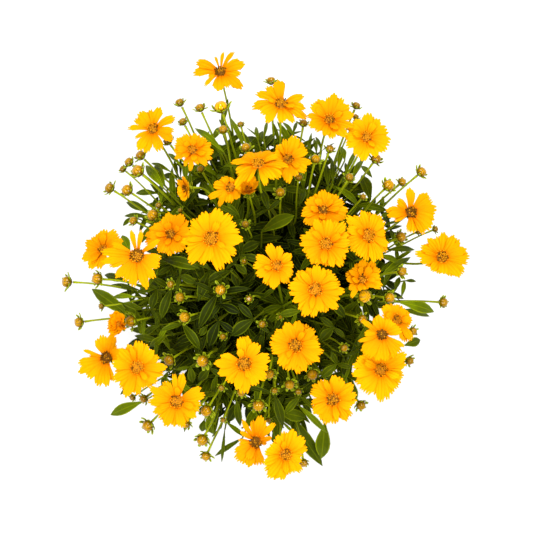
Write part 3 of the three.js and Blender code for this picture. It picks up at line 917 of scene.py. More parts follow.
# The side shoots: where they start and end, and their leaves from the lowest to the highest.
shoots_each = (4, 6)
shoot_spread = (0.3, 1.15)
shoot_foot = (138, 160)
shoot_height = (0.42, 0.86)
shoot_below_crown = 34
shoot_bow = 0.16
shoot_radii = (1.6, 0.8)
shoot_side = np.array([1.0, 0.1, 0])
shoot_shade = 0.75
shoot_pairs = 5
pair_turn = 1.62
lowest_pair = 2.2
shoot_leaf_rise = (22, 48)
shoot_leaf_fall = (-30, 6)
shoot_leaf_length = (82, 40)
shoot_leaf_width = (13.5, 7.5)
# Shoot leaves get darker towards the foot of the shoot: partly because older leaves are darker,
# partly as painted shade.
shoot_leaf_tone = (0.1, 0.62)
shoot_leaf_lengths = (0.8, 1.1)
shoot_leaf_widths = (0.75, 1.1)
shoot_leaf_swing = (-0.35, 0.35)
turn_scatter = (-0.3, 0.3)
tone_scatter = 0.5
tip_steepness = 26
leaf_below_crown = 22
bent_down = (25, 35)
# The shoots that end in a leaf that stands out, and the small pair under a dark one.
topmost_foot = (150, 190)
topmost_bow = 0.12
topmost_radii = (1.5, 0.8)
topmost_shade = 0.6
topmost_arch = 0.16
dark_leaf = 0.5
small_turn = (1.2, 2.2)
small_rise = (30, 55)
small_fall = (-20, 20)
small_length = (0.65, 1.0)
small_width = (0.4, 0.65)
small_tone = 0.8
# The small leaves at the forks: the point of the stalk, and the leaf's size there.
fork_leaf_places = ((0, 1.0), (5, 0.6))
bare_share = 0.45
fork_leaf_rise = (35, 62)
fork_leaf_fall = (0, 45)
fork_leaf_length = (30, 52)
fork_leaf_width = (5, 9)
fork_leaf_tone = (0.35, 1)
fork_leaf_swing = (-0.4, 0.4)
# Leaves that stand out at the top of leafy shoots: where each starts and where its tip is, as x, y
# and z, then its width and its tone from dark to light. The tones carry each leaf's own tone
# together with painted shade, which is darkest on the leaves deep down.
topmost_leaves = [
    (-159, -44, 279, -207, -9, 255, 14, 0.6), (-150, -133, 250, -187, -146, 226, 12, 0.8),
    (5, -143, 267, 47, -202, 243, 15, 0.3), (126, -33, 317, 165, -40, 293, 12, 1),
    (131, -37, 289, 164, -41, 265, 8, 0.6), (105, -7, 324, 140, 18, 302, 9, 0.7),
    (114, 24, 311, 146, 28, 291, 7, 0.6), (135, -74, 277, 153, -67, 267, 10, 0.6),
    (97, 78, 313, 89, 108, 303, 12, 0.7), (-124, 97, 303, -137, 126, 279, 11, 0.9),
    (-143, 74, 270, -172, 91, 246, 9, 0.4), (-62, 131, 299, -88, 166, 275, 9, 0.7),
    (48, -158, 278, 45, -194, 254, 16, 0.75), (-40, -172, 253, -71, -191, 229, 6, 0.5),
    (-59, -163, 256, -63, -198, 232, 4, 0.5), (-19, 36, 349, 15, 53, 350, 14, 0.75),
    (-50, -2, 335, -80, -17, 329, 11, 0.55), (-50, 0, 332, -43, -21, 336, 8, 0.5),
    (-46, 1, 351, -34, -10, 357, 8, 0.8), (-42, 18, 330, -21, 27, 336, 11, 0.45),
    (-71, 0, 323, -86, -33, 319, 13, 0.45), (-79, -13, 317, -88, 10, 317, 9, 0.4),
    (-141, -101, 256, -176, -124, 232, 9, 0.5), (-139, -58, 284, -184, -22, 260, 14, 0.5),
    (77, -112, 284, 78, -137, 268, 12, 0.5), (-48, 150, 284, -68, 184, 260, 6, 0.6),
    (-37, 135, 306, -56, 181, 282, 6, 0.75), (-60, 131, 312, -93, 165, 288, 8, 0.9),
    (-30, 143, 287, -47, 169, 264, 7, 0.5), (-27, 139, 281, -18, 169, 264, 9, 0.35),
    (-23, 147, 297, -26, 169, 280, 5, 0.7), (-17, 149, 299, -13, 176, 278, 4, 0.75),
    (-21, 139, 285, -3, 167, 265, 7, 0.4), (-12, 146, 281, 27, 170, 261, 5, 0.4),
    (17, 156, 285, 4, 178, 268, 5, 0.6), (15, 163, 268, 21, 184, 250, 4, 0.4),
    (-15, 147, 265, -37, 167, 247, 9, 0.15), (1, 150, 260, -19, 167, 246, 10, 0.1),
    (13, 161, 254, -8, 157, 258, 9, 0.15), (-38, 138, 277, -64, 151, 265, 9, 0.3),
    (-49, 132, 284, -74, 152, 268, 8, 0.4), (29, 124, 305, 36, 162, 281, 4, 0.6),
    (32, 129, 296, 34, 153, 279, 4, 0.5), (41, 136, 289, 39, 156, 276, 5, 0.5),
    (47, 142, 278, 41, 162, 265, 4, 0.4), (62, 109, 321, 68, 140, 301, 6, 0.85),
    (69, 103, 319, 84, 138, 295, 5, 0.8), (77, 100, 327, 89, 123, 310, 6, 0.95),
    (73, 105, 305, 72, 124, 295, 5, 0.6), (52, 93, 311, 50, 122, 300, 7, 0.5),
    (57, 95, 314, 57, 129, 296, 5, 0.6), (64, 93, 295, 91, 100, 282, 12, 0.3),
    (70, 87, 284, 95, 81, 276, 12, 0.1), (47, 109, 286, 34, 123, 285, 8, 0.2),
    (42, 115, 290, 56, 132, 277, 7, 0.3), (66, 109, 287, 52, 116, 287, 8, 0.3),
    (-125, 93, 307, -147, 124, 283, 10, 0.95), (-117, 112, 299, -142, 129, 275, 5, 0.9),
    (-107, 120, 297, -123, 140, 275, 5, 0.85), (-110, 116, 259, -135, 122, 241, 8, 0.2),
    (-133, 93, 281, -160, 98, 260, 7, 0.6), (-141, 66, 280, -173, 73, 256, 6, 0.5),
    (-161, 69, 270, -173, 60, 264, 5, 0.6), (-140, 74, 272, -134, 92, 269, 6, 0.4),
    (-101, 88, 271, -127, 80, 264, 10, 0.1), (-107, 72, 280, -135, 95, 258, 9, 0.2),
    (-98, 88, 272, -124, 106, 254, 9, 0.1), (-160, 23, 302, -170, 44, 291, 10, 0.95),
    (-102, 102, 294, -103, 128, 284, 7, 0.6), (-114, 83, 269, -144, 86, 253, 8, 0.15),
    (-82, 114, 267, -104, 102, 267, 8, 0.1), (-52, 121, 266, -77, 132, 256, 12, 0),
    (-152, -26, 308, -180, -23, 286, 6, 0.95), (-167, -1, 253, -197, 11, 229, 9, 0.2),
    (-152, -13, 270, -187, -3, 246, 6, 0.3), (-124, -73, 270, -153, -55, 257, 8, 0.2),
    (-115, -82, 308, -126, -61, 309, 6, 0.8), (-120, -72, 297, -138, -51, 292, 6, 0.6),
    (-126, -67, 283, -108, -82, 288, 8, 0.4), (-113, -73, 271, -142, -76, 252, 9, 0.1),
    (-110, -73, 272, -142, -87, 248, 10, 0.1), (-100, -75, 289, -118, -96, 275, 9, 0.3),
    (-96, -80, 283, -123, -101, 263, 9, 0.2), (-119, -102, 279, -127, -117, 267, 6, 0.5),
    (-100, -92, 270, -119, -107, 252, 8, 0.1), (-112, -63, 280, -140, -35, 274, 10, 0.2),
    (-140, -35, 276, -161, -50, 258, 8, 0.3), (129, -26, 305, 133, -7, 303, 5, 0.8),
    (123, -17, 301, 128, -3, 299, 6, 0.5), (134, -6, 291, 148, -5, 282, 4, 0.6),
    (110, -14, 308, 122, 17, 301, 8, 0.5), (107, 5, 298, 128, 16, 286, 8, 0.3),
    (125, 11, 306, 124, 27, 305, 5, 0.6), (107, 15, 331, 124, 9, 322, 6, 0.85),
    (110, -9, 291, 133, 11, 277, 8, 0.2), (99, -27, 292, 119, -15, 282, 9, 0.15),
    (102, -33, 289, 126, -26, 277, 9, 0.15), (113, -18, 288, 135, -23, 275, 6, 0.2),
    (111, 48, 291, 135, 58, 274, 4, 0.3), (109, 50, 309, 130, 59, 295, 3, 0.6),
    (113, 36, 286, 122, 53, 277, 4, 0.2), (107, 59, 314, 125, 69, 301, 6, 0.7),
    (106, 63, 319, 111, 83, 310, 5, 0.8), (97, 68, 304, 104, 84, 295, 5, 0.5),
    (40, -108, 294, 66, -94, 295, 9, 0.3), (45, -116, 289, 70, -104, 288, 9, 0.3),
    (99, -5, 290, 118, 10, 280, 9, 0.1), (-64, -138, 282, -79, -167, 258, 12, 0.5),
    (-57, -156, 289, -36, -172, 281, 5, 0.95), (-42, -133, 279, -56, -156, 260, 10, 0.3),
    (-46, -133, 290, -42, -160, 272, 8, 0.5), (-32, -132, 276, -35, -154, 260, 7, 0.2),
    (-19, -141, 277, 5, -162, 263, 9, 0.3), (-10, -133, 283, 13, -160, 264, 9, 0.3),
    (0, -146, 289, 28, -152, 283, 13, 0.7), (-7, -164, 264, -4, -180, 250, 6, 0.5),
    (22, -128, 298, 5, -147, 286, 8, 0.5), (19, -140, 311, 50, -168, 287, 7, 0.85),
    (-61, -110, 288, -48, -135, 277, 7, 0.3), (-66, -108, 312, -70, -130, 298, 7, 0.7),
    (-40, -126, 275, -71, -135, 261, 8, 0.15), (-56, -142, 254, -80, -152, 239, 8, 0.2),
    (22, -130, 278, 35, -151, 262, 7, 0.2), (6, -127, 281, -8, -145, 269, 8, 0.2),
    (-141, -23, 265, -167, -32, 249, 10, 0.1), (-130, -48, 268, -156, -41, 252, 10, 0.1),
    (-124, -56, 269, -153, -56, 250, 9, 0.1), (-119, -80, 265, -147, -69, 251, 10, 0.1),
    (-110, -83, 268, -133, -100, 247, 12, 0.1), (-91, -84, 277, -116, -97, 263, 12, 0.1),
    (-97, -97, 266, -125, -90, 254, 10, 0.05), (-91, -108, 266, -110, -115, 253, 9, 0.1),
    (-59, -127, 267, -48, -144, 258, 8, 0.1), (-42, -124, 273, -32, -142, 263, 8, 0.1),
    (-73, -123, 265, -62, -142, 256, 9, 0.1), (-23, -144, 253, -15, -158, 244, 8, 0.1),
    (11, -137, 268, 22, -158, 253, 10, 0.1), (5, -130, 273, 22, -137, 268, 9, 0.1),
    (22, -133, 277, 41, -135, 272, 7, 0.2), (91, -27, 292, 103, -45, 284, 11, 0.1),
    (103, -24, 287, 122, -27, 277, 9, 0.1), (99, -16, 290, 117, -21, 280, 8, 0.1),
    (112, -5, 290, 126, -14, 281, 8, 0.2), (114, 10, 282, 107, 20, 286, 8, 0.1),
    (109, 59, 289, 124, 69, 278, 6, 0.3), (111, 42, 286, 121, 50, 279, 7, 0.2),
    (28, 95, 287, 36, 123, 275, 9, 0.05), (42, 96, 285, 32, 118, 279, 8, 0.05),
    (55, 93, 286, 47, 117, 280, 8, 0.1), (60, 93, 297, 72, 116, 285, 7, 0.3),
    (72, 96, 282, 58, 111, 280, 8, 0.15), (76, 87, 300, 95, 95, 289, 6, 0.4),
    (-76, -150, 278, -71, -168, 266, 11, 0.8), (-81, -153, 262, -84, -165, 251, 8, 0.6),
    (-63, -162, 268, -73, -171, 257, 3, 0.7), (-141, -13, 272, -131, -25, 281, 8, 0.2),
    (-104, 73, 275, -132, 64, 267, 8, 0.1), (-119, 52, 279, -143, 64, 265, 8, 0.2),
    (-131, 58, 277, -155, 73, 260, 7, 0.3), (-55, 129, 267, -76, 148, 252, 9, 0.1),
    (70, 121, 315, 67, 139, 305, 7, 0.9), (55, 104, 305, 62, 122, 293, 6, 0.5),
    (49, 114, 301, 43, 130, 293, 5, 0.5), (-63, -33, 376, -82, -67, 365, 11, 0.3),
    (-71, -9, 376, -82, -39, 372, 11, 0.35), (-50, -11, 382, -75, -23, 377, 10, 0.5),
    (-111, -24, 353, -122, -55, 345, 10, 0.12), (-127, -24, 340, -133, -43, 337, 9, 0.12),
    (-99, -60, 352, -81, -87, 354, 10, 0.3), (-114, -59, 341, -125, -74, 334, 5, 0.6),
    (-74, -63, 359, -81, -73, 357, 7, 0.6), (-67, -38, 372, -71, -60, 370, 8, 0.25),
    (-60, -43, 373, -40, -53, 379, 9, 0.3), (-62, -59, 365, -72, -84, 357, 12, 0.08),
    (-102, -12, 361, -84, -22, 372, 9, 0.35), (-122, 7, 350, -81, -7, 374, 12, 0.35),
    (-92, -102, 332, -90, -118, 325, 8, 0.25), (-72, -104, 340, -83, -116, 329, 9, 0.15),
    (-151, -38, 316, -145, -68, 312, 4, 0.4), (-142, -42, 322, -166, -32, 305, 6, 0.45),
    (-27, -59, 378, -49, -75, 373, 12, 0.35), (20, -51, 381, -2, -56, 384, 8, 0.5),
    (53, -66, 369, 39, -80, 371, 10, 0.25), (57, -101, 350, 41, -114, 347, 9, 0.3),
    (-6, -130, 337, 3, -162, 315, 10, 0.15), (20, -132, 335, 4, -150, 324, 7, 0.4),
    (64, -93, 347, 65, -112, 338, 6, 0.1), (-28, -83, 364, -19, -100, 361, 8, 0.1),
    (50, -39, 372, 65, -56, 368, 9, 0.15), (-6, -69, 373, -18, -58, 379, 7, 0.25),
    (-128, -66, 310, -160, -58, 291, 8, 0.35), (-124, -74, 308, -155, -65, 290, 7, 0.5),
    (-132, -76, 298, -163, -73, 278, 6, 0.3), (-118, -69, 325, -136, -79, 310, 8, 0.6),
    (-125, -57, 319, -145, -66, 303, 7, 0.15), (-116, 6, 338, -136, 3, 330, 7, 0.3),
    (-111, 1, 341, -127, -7, 335, 6, 0.2), (-112, 11, 316, -131, 1, 309, 9, 0.1),
    (-93, 2, 325, -113, -6, 319, 9, 0.1), (-103, -13, 320, -122, -6, 314, 9, 0.1),
    (-119, -14, 308, -140, -7, 300, 8, 0.1), (-116, -32, 308, -137, -38, 299, 8, 0.1),
    (-86, -66, 320, -109, -75, 310, 9, 0.1), (-90, -74, 313, -114, -82, 303, 9, 0.1),
    (-76, -68, 323, -87, -87, 315, 9, 0.1), (-99, -82, 304, -123, -87, 289, 8, 0.1),
    (-120, 27, 320, -147, 41, 304, 9, 0.3), (-123, 18, 319, -145, 26, 308, 7, 0.2),
    (-137, 53, 306, -147, 32, 308, 6, 0.4), (-128, -16, 312, -151, -20, 301, 7, 0.3),
    (-138, 3, 309, -153, -8, 302, 6, 0.3), (-40, 5, 382, -18, -3, 389, 8, 0.3),
    (-66, 31, 373, -82, 42, 370, 9, 0.25), (-12, 53, 375, -19, 75, 372, 8, 0.15),
]
# Places that stalks rise through, where no leaf ends.
clear_places = np.array([
    (-23, 177, 305), (0, 184, 290), (18, 186, 308), (80, 130, 324), (110, 101, 279),
    (76, 122, 274), (-130, 135, 292),
])
clearance = 3

leaf_green, tree, shader = new_material("leaf_green", 0.42, 0.05)
_, across, along, own_tone = add_reading(tree, -1400)
patches = add_mottling(tree, (-1400, -300), 60, 6)
hairs = add_mottling(tree, (-1400, -500), 1500, 2)
from_rib = add_rib_distance(tree, (-1000, 200), across)
rib = add_math(tree, (-800, 300), "SUBTRACT", 1.0,
               add_range(tree, (-900, 300), from_rib, 0.012, 0.06))
margin = add_range(tree, (-900, 100), from_rib, 0.38, 0.46)
slant = add_math(tree, (-1000, -50), "ADD",
                 add_math(tree, (-1100, -50), "MULTIPLY", from_rib, -2.6), along)
veins = add_math(tree, (-800, -50), "SINE", add_math(tree, (-900, -50), "MULTIPLY", slant, 44))
vein_mask = add_range(tree, (-700, -50), veins, 0.7, 1.0)
# The tone mixes a near-black green with the leaf's lit green: at its low end it is painted shade
# for leaves deep in the crown, and it also differs at random from leaf to leaf.
dark_and_shaded_green = add_mix(tree, (-700, 500), patches, (0.003, 0.005, 0.000), (0.010, 0.016, 0.000))
bright = add_mix(tree, (-700, 400), patches, (0.115, 0.168, 0.000), (0.185, 0.250, 0.000))
colour = add_mix(tree, (-550, 400), own_tone, dark_and_shaded_green, bright)
edge_colour = add_mix(tree, (-550, 200), own_tone, (0.075, 0.105, 0.000), (0.345, 0.415, 0.002))
for left, mask, share in ((-400, vein_mask, 0.12), (-275, margin, 0.95), (-150, rib, 0.5)):
    colour = add_tint(tree, (left, 300), colour, mask, share, edge_colour)
tree.links.new(colour, shader.inputs["Base Color"])
relief = add_math(tree, (-500, -250), "ADD", hairs,
                  add_math(tree, (-600, -250), "MULTIPLY", vein_mask, -1.2))
relief = add_math(tree, (-400, -250), "SUBTRACT", relief,
                  add_math(tree, (-500, -350), "MULTIPLY", rib, 2.0))
add_bump(tree, shader, relief, 0.35, 0.0005)

leaf = tongue(4, leaf_rows, lambda x, y: leaf_fold * abs(x) ** 1.3, 0.08)


def room_left(which, points):
    """How far points are inside a stem's own room, in millimetres; negative when out."""
    rise = points[:, 2] - fan_point[2]
    directions = points[:, :2] / rise[:, None] - fans[which]
    least = np.full(len(points), np.inf)
    for k, other in enumerate(fans):
        if k != which:
            across = other - fans[which]
            least = np.minimum(least, np.linalg.norm(across) / 2 - directions @ unit(across))
    return least * rise


def leaf_line(root, azimuth, slopes, length, swing=0.0):
    """A leaf's midrib, which leaves its stem at one slope and ends at another."""
    points = [np.array(root, dtype=float)]
    for k in range(line_steps):
        share = (k + 0.5) / line_steps
        slope, turn = mix(*slopes, share), azimuth + swing * share
        points.append(points[-1] + length / line_steps * np.array(
            [cos(slope) * cos(turn), cos(slope) * sin(turn), sin(slope)]))
    return np.array(points)


def outline_of(line, azimuth, width):
    """The points of a leaf that say whether it keeps inside its room."""
    stations = line[[0, 5, 9, 12]]
    side = np.array([-sin(azimuth), cos(azimuth), 0])
    found = [stations[0], stations[3]]
    for k, share in ((1, 1), (2, 0.72)):
        up = np.cross(unit(stations[k + 1] - stations[k - 1]), side)
        reach = width / 2 * share
        found += [stations[k] + reach * (way * side + leaf_fold * up) for way in (1, -1)]
    return np.array(found)


def crown_at(x, y):
    """How high the foliage may reach at a place, under the blooms."""
    return crown_top - crown_fall * (x * x + y * y)


def tone_at(place, tone):
    """A leaf's tone where it stands, with painted shade that darkens it down in the crown and in
    the hollow among the blooms, and painted light that lightens it out at the rim.
    """
    spot = place[:2]
    depth = crown_at(*spot) - place[2]
    tone *= mix(1, deep_painted_shade, kept_in((depth - shallow) / (deep - shallow)))
    tone = min(1, tone + rim_painted_light * min(1, hypot(*spot) / rim_light_reach) ** 3)
    off_shaded_hollow = spot - shaded_hollow
    return tone * mix(1, hollow_painted_shade, exp(-off_shaded_hollow @ off_shaded_hollow / (2 * shaded_hollow_reach**2)))


def add_leaf(pile, line, azimuth, width, tone, draw):
    """Lays one leaf along its midrib, a little twisted and waved so that no two are alike."""
    side = np.array([sin(azimuth), -cos(azimuth), 0])
    twist = mix(-leaf_twist, leaf_twist, draw()) * along_line + mix(-leaf_roll, leaf_roll, draw())
    laid = laid_along(leaf, line, side, width / 2, roll=twist)
    x, y, _ = leaf.points.T
    laid[:, 2] += (leaf_wave * width * np.sin(2 * pi * (mix(*waves_along, draw()) * y + draw()))
                   * np.abs(x) * y)
    if np.linalg.norm(clear_places - line[-1], axis=1).min() > clearance:
        pile.add(leaf, laid, tone_at(line[line_steps // 2], tone))


def fitted_leaf(which, root, azimuth, slopes, length, width, tone, pile, draw):
    """Adds a leaf, set steeper and swung outward until it keeps inside its stem's room."""
    outward = atan2(fans[which][1], fans[which][0])
    swing = atan2(sin(outward - azimuth), cos(outward - azimuth))
    for share in np.linspace(0, 1, 11):
        turn = azimuth + share * swing
        steeper = [mix(slope, radians(end), share) for slope, end in zip(slopes, steepest_slopes)]
        line = leaf_line(root, turn, steeper, length)
        if room_left(which, outline_of(line, turn, width)).min() > least_room:
            add_leaf(pile, line, turn, width, tone, draw)
            return


def stem_leaves(which, pile):
    """The large leaves of a leafy stem: opposite pairs, each square to the pair below it."""
    draw, own = random_from(which + 1), random_from(700 + which)
    lean = np.linalg.norm(fans[which])
    pairs = 3 if lean > inner_lean else 2
    steeper = mix(inner_steepness, 0, min(1, lean / outer_lean))
    turn, fork = draw() * pi, tops_of(which)[0]
    for k in range(2 * pairs):
        pair = k // 2
        share = (pair + 0.5) / pairs
        azimuth = turn + pair * pi / 2 + (k % 2) * pi + leaf_scatter * (draw() - 0.5)
        slopes = [radians(mix(*ends, share) + steeper) for ends in (leaf_rise, leaf_fall)]
        length = mix(*leaf_length, share) * mix(*leaf_sizes, draw())
        root = on_stem(which, mix(ground + lowest_leaves, fork, share))
        fitted_leaf(which, root, azimuth, slopes, length, mix(*leaf_width, share),
                    mix(*leaf_tone, own()), pile, own)


def side_shoots(which, pile, stalks):
    """The leafy shoots at a stem's foot, with pairs of leaves that shrink towards their tips."""
    draw = random_from(900 + which)
    lean = np.linalg.norm(fans[which])
    count = shoots_each[1] if lean > inner_lean else shoots_each[0]
    reach = 0.5 * min(np.linalg.norm(other - fans[which])
                      for k, other in enumerate(fans) if k != which)
    for s in range(count):
        spin = (s + draw()) / count * 2 * pi
        aim = fans[which] + reach * mix(*shoot_spread, draw()) * np.array([cos(spin), sin(spin)])
        foot = on_stem(which, mix(*shoot_foot, draw()))
        top_share = mix(*shoot_height, draw())
        z = 300.0
        for _ in range(6):  # The crown's height depends on the place, so it is closed in on.
            x, y = aim * (z - fan_point[2])
            z = mix(ground, crown_at(x, y) - shoot_below_crown, top_share)
        tip = np.array([*aim * (z - fan_point[2]), z])
        run = np.linalg.norm(tip - foot)
        t = along_line[:, None]
        outward = np.array([*aim, 0.0])
        line = foot + t * (tip - foot) - shoot_bow * run * np.sin(pi * t) * outward
        stalks.add(stalk, laid_along(stalk, line, shoot_side, tapering(*shoot_radii)), shoot_shade)
        turn = 2 * pi * draw()
        for pair in range(shoot_pairs):
            share = (pair + 1) / shoot_pairs
            root = line[min(line_steps, round(mix(lowest_pair, line_steps, share)))]
            steeper = tip_steepness * share**2
            for way in (0, 1):
                azimuth = turn + pair * pair_turn + way * pi + mix(*turn_scatter, draw())
                slopes = [radians(mix(*ends, share) + steeper * draw())
                          for ends in (shoot_leaf_rise, shoot_leaf_fall)]
                length = mix(*shoot_leaf_length, share) * mix(*shoot_leaf_lengths, draw())
                width = mix(*shoot_leaf_width, share) * mix(*shoot_leaf_widths, draw())
                midrib = leaf_line(root, azimuth, slopes, length, mix(*shoot_leaf_swing, draw()))
                if any(z > crown_at(x, y) - leaf_below_crown for x, y, z in midrib):
                    slopes = [slope - radians(bend) for slope, bend in zip(slopes, bent_down)]
                    midrib = leaf_line(root, azimuth, slopes, length)
                # The tone rises up the shoot: partly leaf age, partly painted shade.
                light = kept_in(mix(*shoot_leaf_tone, share) + tone_scatter * (draw() - 0.5))
                add_leaf(pile, midrib, azimuth, width, light, draw)


def topmost_shoots(which, pile, stalks):
    """The shoots that end in the leaves that stand out, a dark one with a small pair below it."""
    draw = random_from(1300 + which)
    for row in topmost_leaves:
        start, tip, (width, tone) = np.array(row[:3], float), np.array(row[3:6], float), row[6:]
        if max(range(len(stems)), key=lambda k: room_left(k, start[None])[0]) != which:
            continue
        t = along_line[:, None]
        foot = on_stem(which, mix(*topmost_foot, draw()))
        outward = (start - foot) * (1, 1, 0)
        line = foot + t * (start - foot) + np.sin(pi * t) * (-topmost_bow * outward)
        stalks.add(stalk, laid_along(stalk, line, shoot_side, tapering(*topmost_radii)),
                   topmost_shade)
        run = np.linalg.norm(tip - start)
        arch = np.array([0, 0, topmost_arch * run]) * np.sin(pi * t)
        azimuth = atan2(*(tip - start)[1::-1])
        add_leaf(pile, start + t * (tip - start) + arch, azimuth, width, tone, draw)
        for way in (1, -1) if tone < dark_leaf else ():
            turn = azimuth + way * mix(*small_turn, draw())
            slopes = [radians(mix(*ends, draw())) for ends in (small_rise, small_fall)]
            small = leaf_line(start, turn, slopes, run * mix(*small_length, draw()))
            add_leaf(pile, small, turn, width * mix(*small_width, draw()), tone * small_tone, draw)


def fork_leaves(which, pile):
    """The small narrow leaves in pairs where the stalks leave the stem."""
    draw = random_from(1100 + which)
    for head, start in zip(heads_of(which), fork_points(which)):
        turn = 2 * pi * draw()
        line = curve_to(start, head)
        for at, size in fork_leaf_places:
            if at and draw() < bare_share:
                continue
            for way in (0, 1):
                azimuth = turn + way * pi + at + mix(*turn_scatter, draw())
                slopes = [radians(mix(*ends, draw())) for ends in (fork_leaf_rise, fork_leaf_fall)]
                midrib = leaf_line(line[at], azimuth, slopes, size * mix(*fork_leaf_length, draw()),
                                   mix(*fork_leaf_swing, draw()))
                add_leaf(pile, midrib, azimuth, size * mix(*fork_leaf_width, draw()),
                         mix(*fork_leaf_tone, draw()), draw)


for which in range(len(stems)):
    leaves, shoots = Pile(), Pile()
    stem_leaves(which, leaves)
    side_shoots(which, leaves, shoots)
    topmost_shoots(which, leaves, shoots)
    fork_leaves(which, leaves)
    for part, tones in zip(shoots.points, shoots.tones):
        leaves.add(stalk, part, tones, 1)
    finish_piece(leaves.build("leaves"), f"leaves_of_stem_{which + 1:02d}",
                 [leaf_green, stalk_green], "green", f"leafy_stem_{which + 1:02d}", smooth_angle=60)


# ---- Blooms ------------------------------------------------------------------------------
# Golden daisies on the stalks: thin wedge-shaped rays with toothed tips and three lengthwise
# pleats, round a low disc that is packed with small tube flowers.
ray_rows = [(0, 0.36), (0.2, 0.54), (0.4, 0.75), (0.58, 0.92), (0.74, 1), (1, 0.88)]
ray_teeth = (1.0, 0.985, 0.88, 0.955, 0.945, 0.87, 0.73)
ray_columns = 12
ray_thickness = 0.05
ray_pleats = 3
ray_pleat = 0.065
ray_drop = 0.06
ray_kinds = 10
tooth_spread = 0.12
tip_slant = 0.14
ray_cupping = (-0.10, 0.22)
ray_foot = 0.9
ray_arch = 0.10
ray_steps = 9
ray_fullness = 1.10
ray_lift = 0.8
ray_stagger = 0.7
lift_scatter = 0.8
droop_spread = (0.3, 1.7)
ray_roll = 0.25
orange_scatter = 0.35
# The short inner rays: their reach as a share of the bloom's, how much steeper they stand,
# and their droop, roll and orange.
inner_reach = (0.5, 0.8)
inner_rise = (8, 24)
inner_lift = 1.8
inner_droop = 0.12
inner_ray_width = 7.5
inner_width = (0.7, 1.1)
inner_roll = 0.3
inner_orange = 0.4
# The disc: its radius as a share of the bloom's width, its height as a share of its radius.
disc_share = 0.110
narrowest_bloom = 28
disc_height = 0.42
disc_lift = 1.6
dome_sinking = 0.6
dome_tone = (0.1, 0.9)
floret_gap = 1.25
floret_packing = 1.7
floret_length = (1.0, 2.3)
floret_width = (0.5, 0.8)
floret_sizes = (0.8, 1.2)
floret_ring = 0.96
floret_sinking = 0.5
floret_lean = 0.75
lean_scatter = 0.25
darkest_ring = 0.78
ring_reach = 0.35
off_ring = 0.3
dark_share = 0.12
light_scatter = 0.2
golden_turn = 2.39996

# How each bloom looks: orange of its rays, darkness of its disc, the number of short inner rays,
# and how far the rays' tips droop.
looks = [
    (0.30, 0.90, 0, 0.10), (0.20, 0.45, 2, 0.06), (0.50, 0.55, 3, 0.04), (0.05, 0.50, 0, 0.06),
    (0.15, 0.25, 3, 0.04), (0.75, 0.30, 7, 0.02), (0.25, 0.35, 4, 0.06), (0.10, 0.20, 2, 0.10),
    (0.00, 0.80, 4, 0.00), (0.20, 0.30, 2, 0.12), (0.00, 0.20, 3, -0.05), (0.65, 0.70, 5, 0.04),
    (0.45, 1.00, 0, 0.05), (0.80, 0.55, 5, 0.03), (0.20, 0.20, 3, 0.02), (0.30, 0.30, 2, 0.08),
    (0.30, 0.60, 0, 0.03), (0.55, 0.20, 3, 0.04), (0.30, 0.25, 2, 0.04), (0.35, 0.60, 0, 0.05),
    (0.35, 0.05, 1, 0.03), (0.35, 0.50, 7, 0.04), (0.40, 0.05, 3, 0.02), (0.50, 0.30, 12, -0.15),
    (0.05, 0.90, 0, 0.06), (0.25, 0.05, 2, 0.03), (0.40, 0.10, 3, 0.05), (0.25, 0.35, 2, 0.03),
    (0.55, 0.40, 2, 0.03), (0.40, 0.90, 0, 0.08), (0.25, 0.10, 2, 0.05), (0.00, 0.25, 2, 0.02),
    (0.45, 0.45, 2, 0.05), (0.50, 0.85, 3, 0.06), (0.00, 0.10, 2, 0.04),
]

# The faded bloom, whose rays have shrivelled and turned on edge.
faded_bloom = 24
faded_crumpling = 4

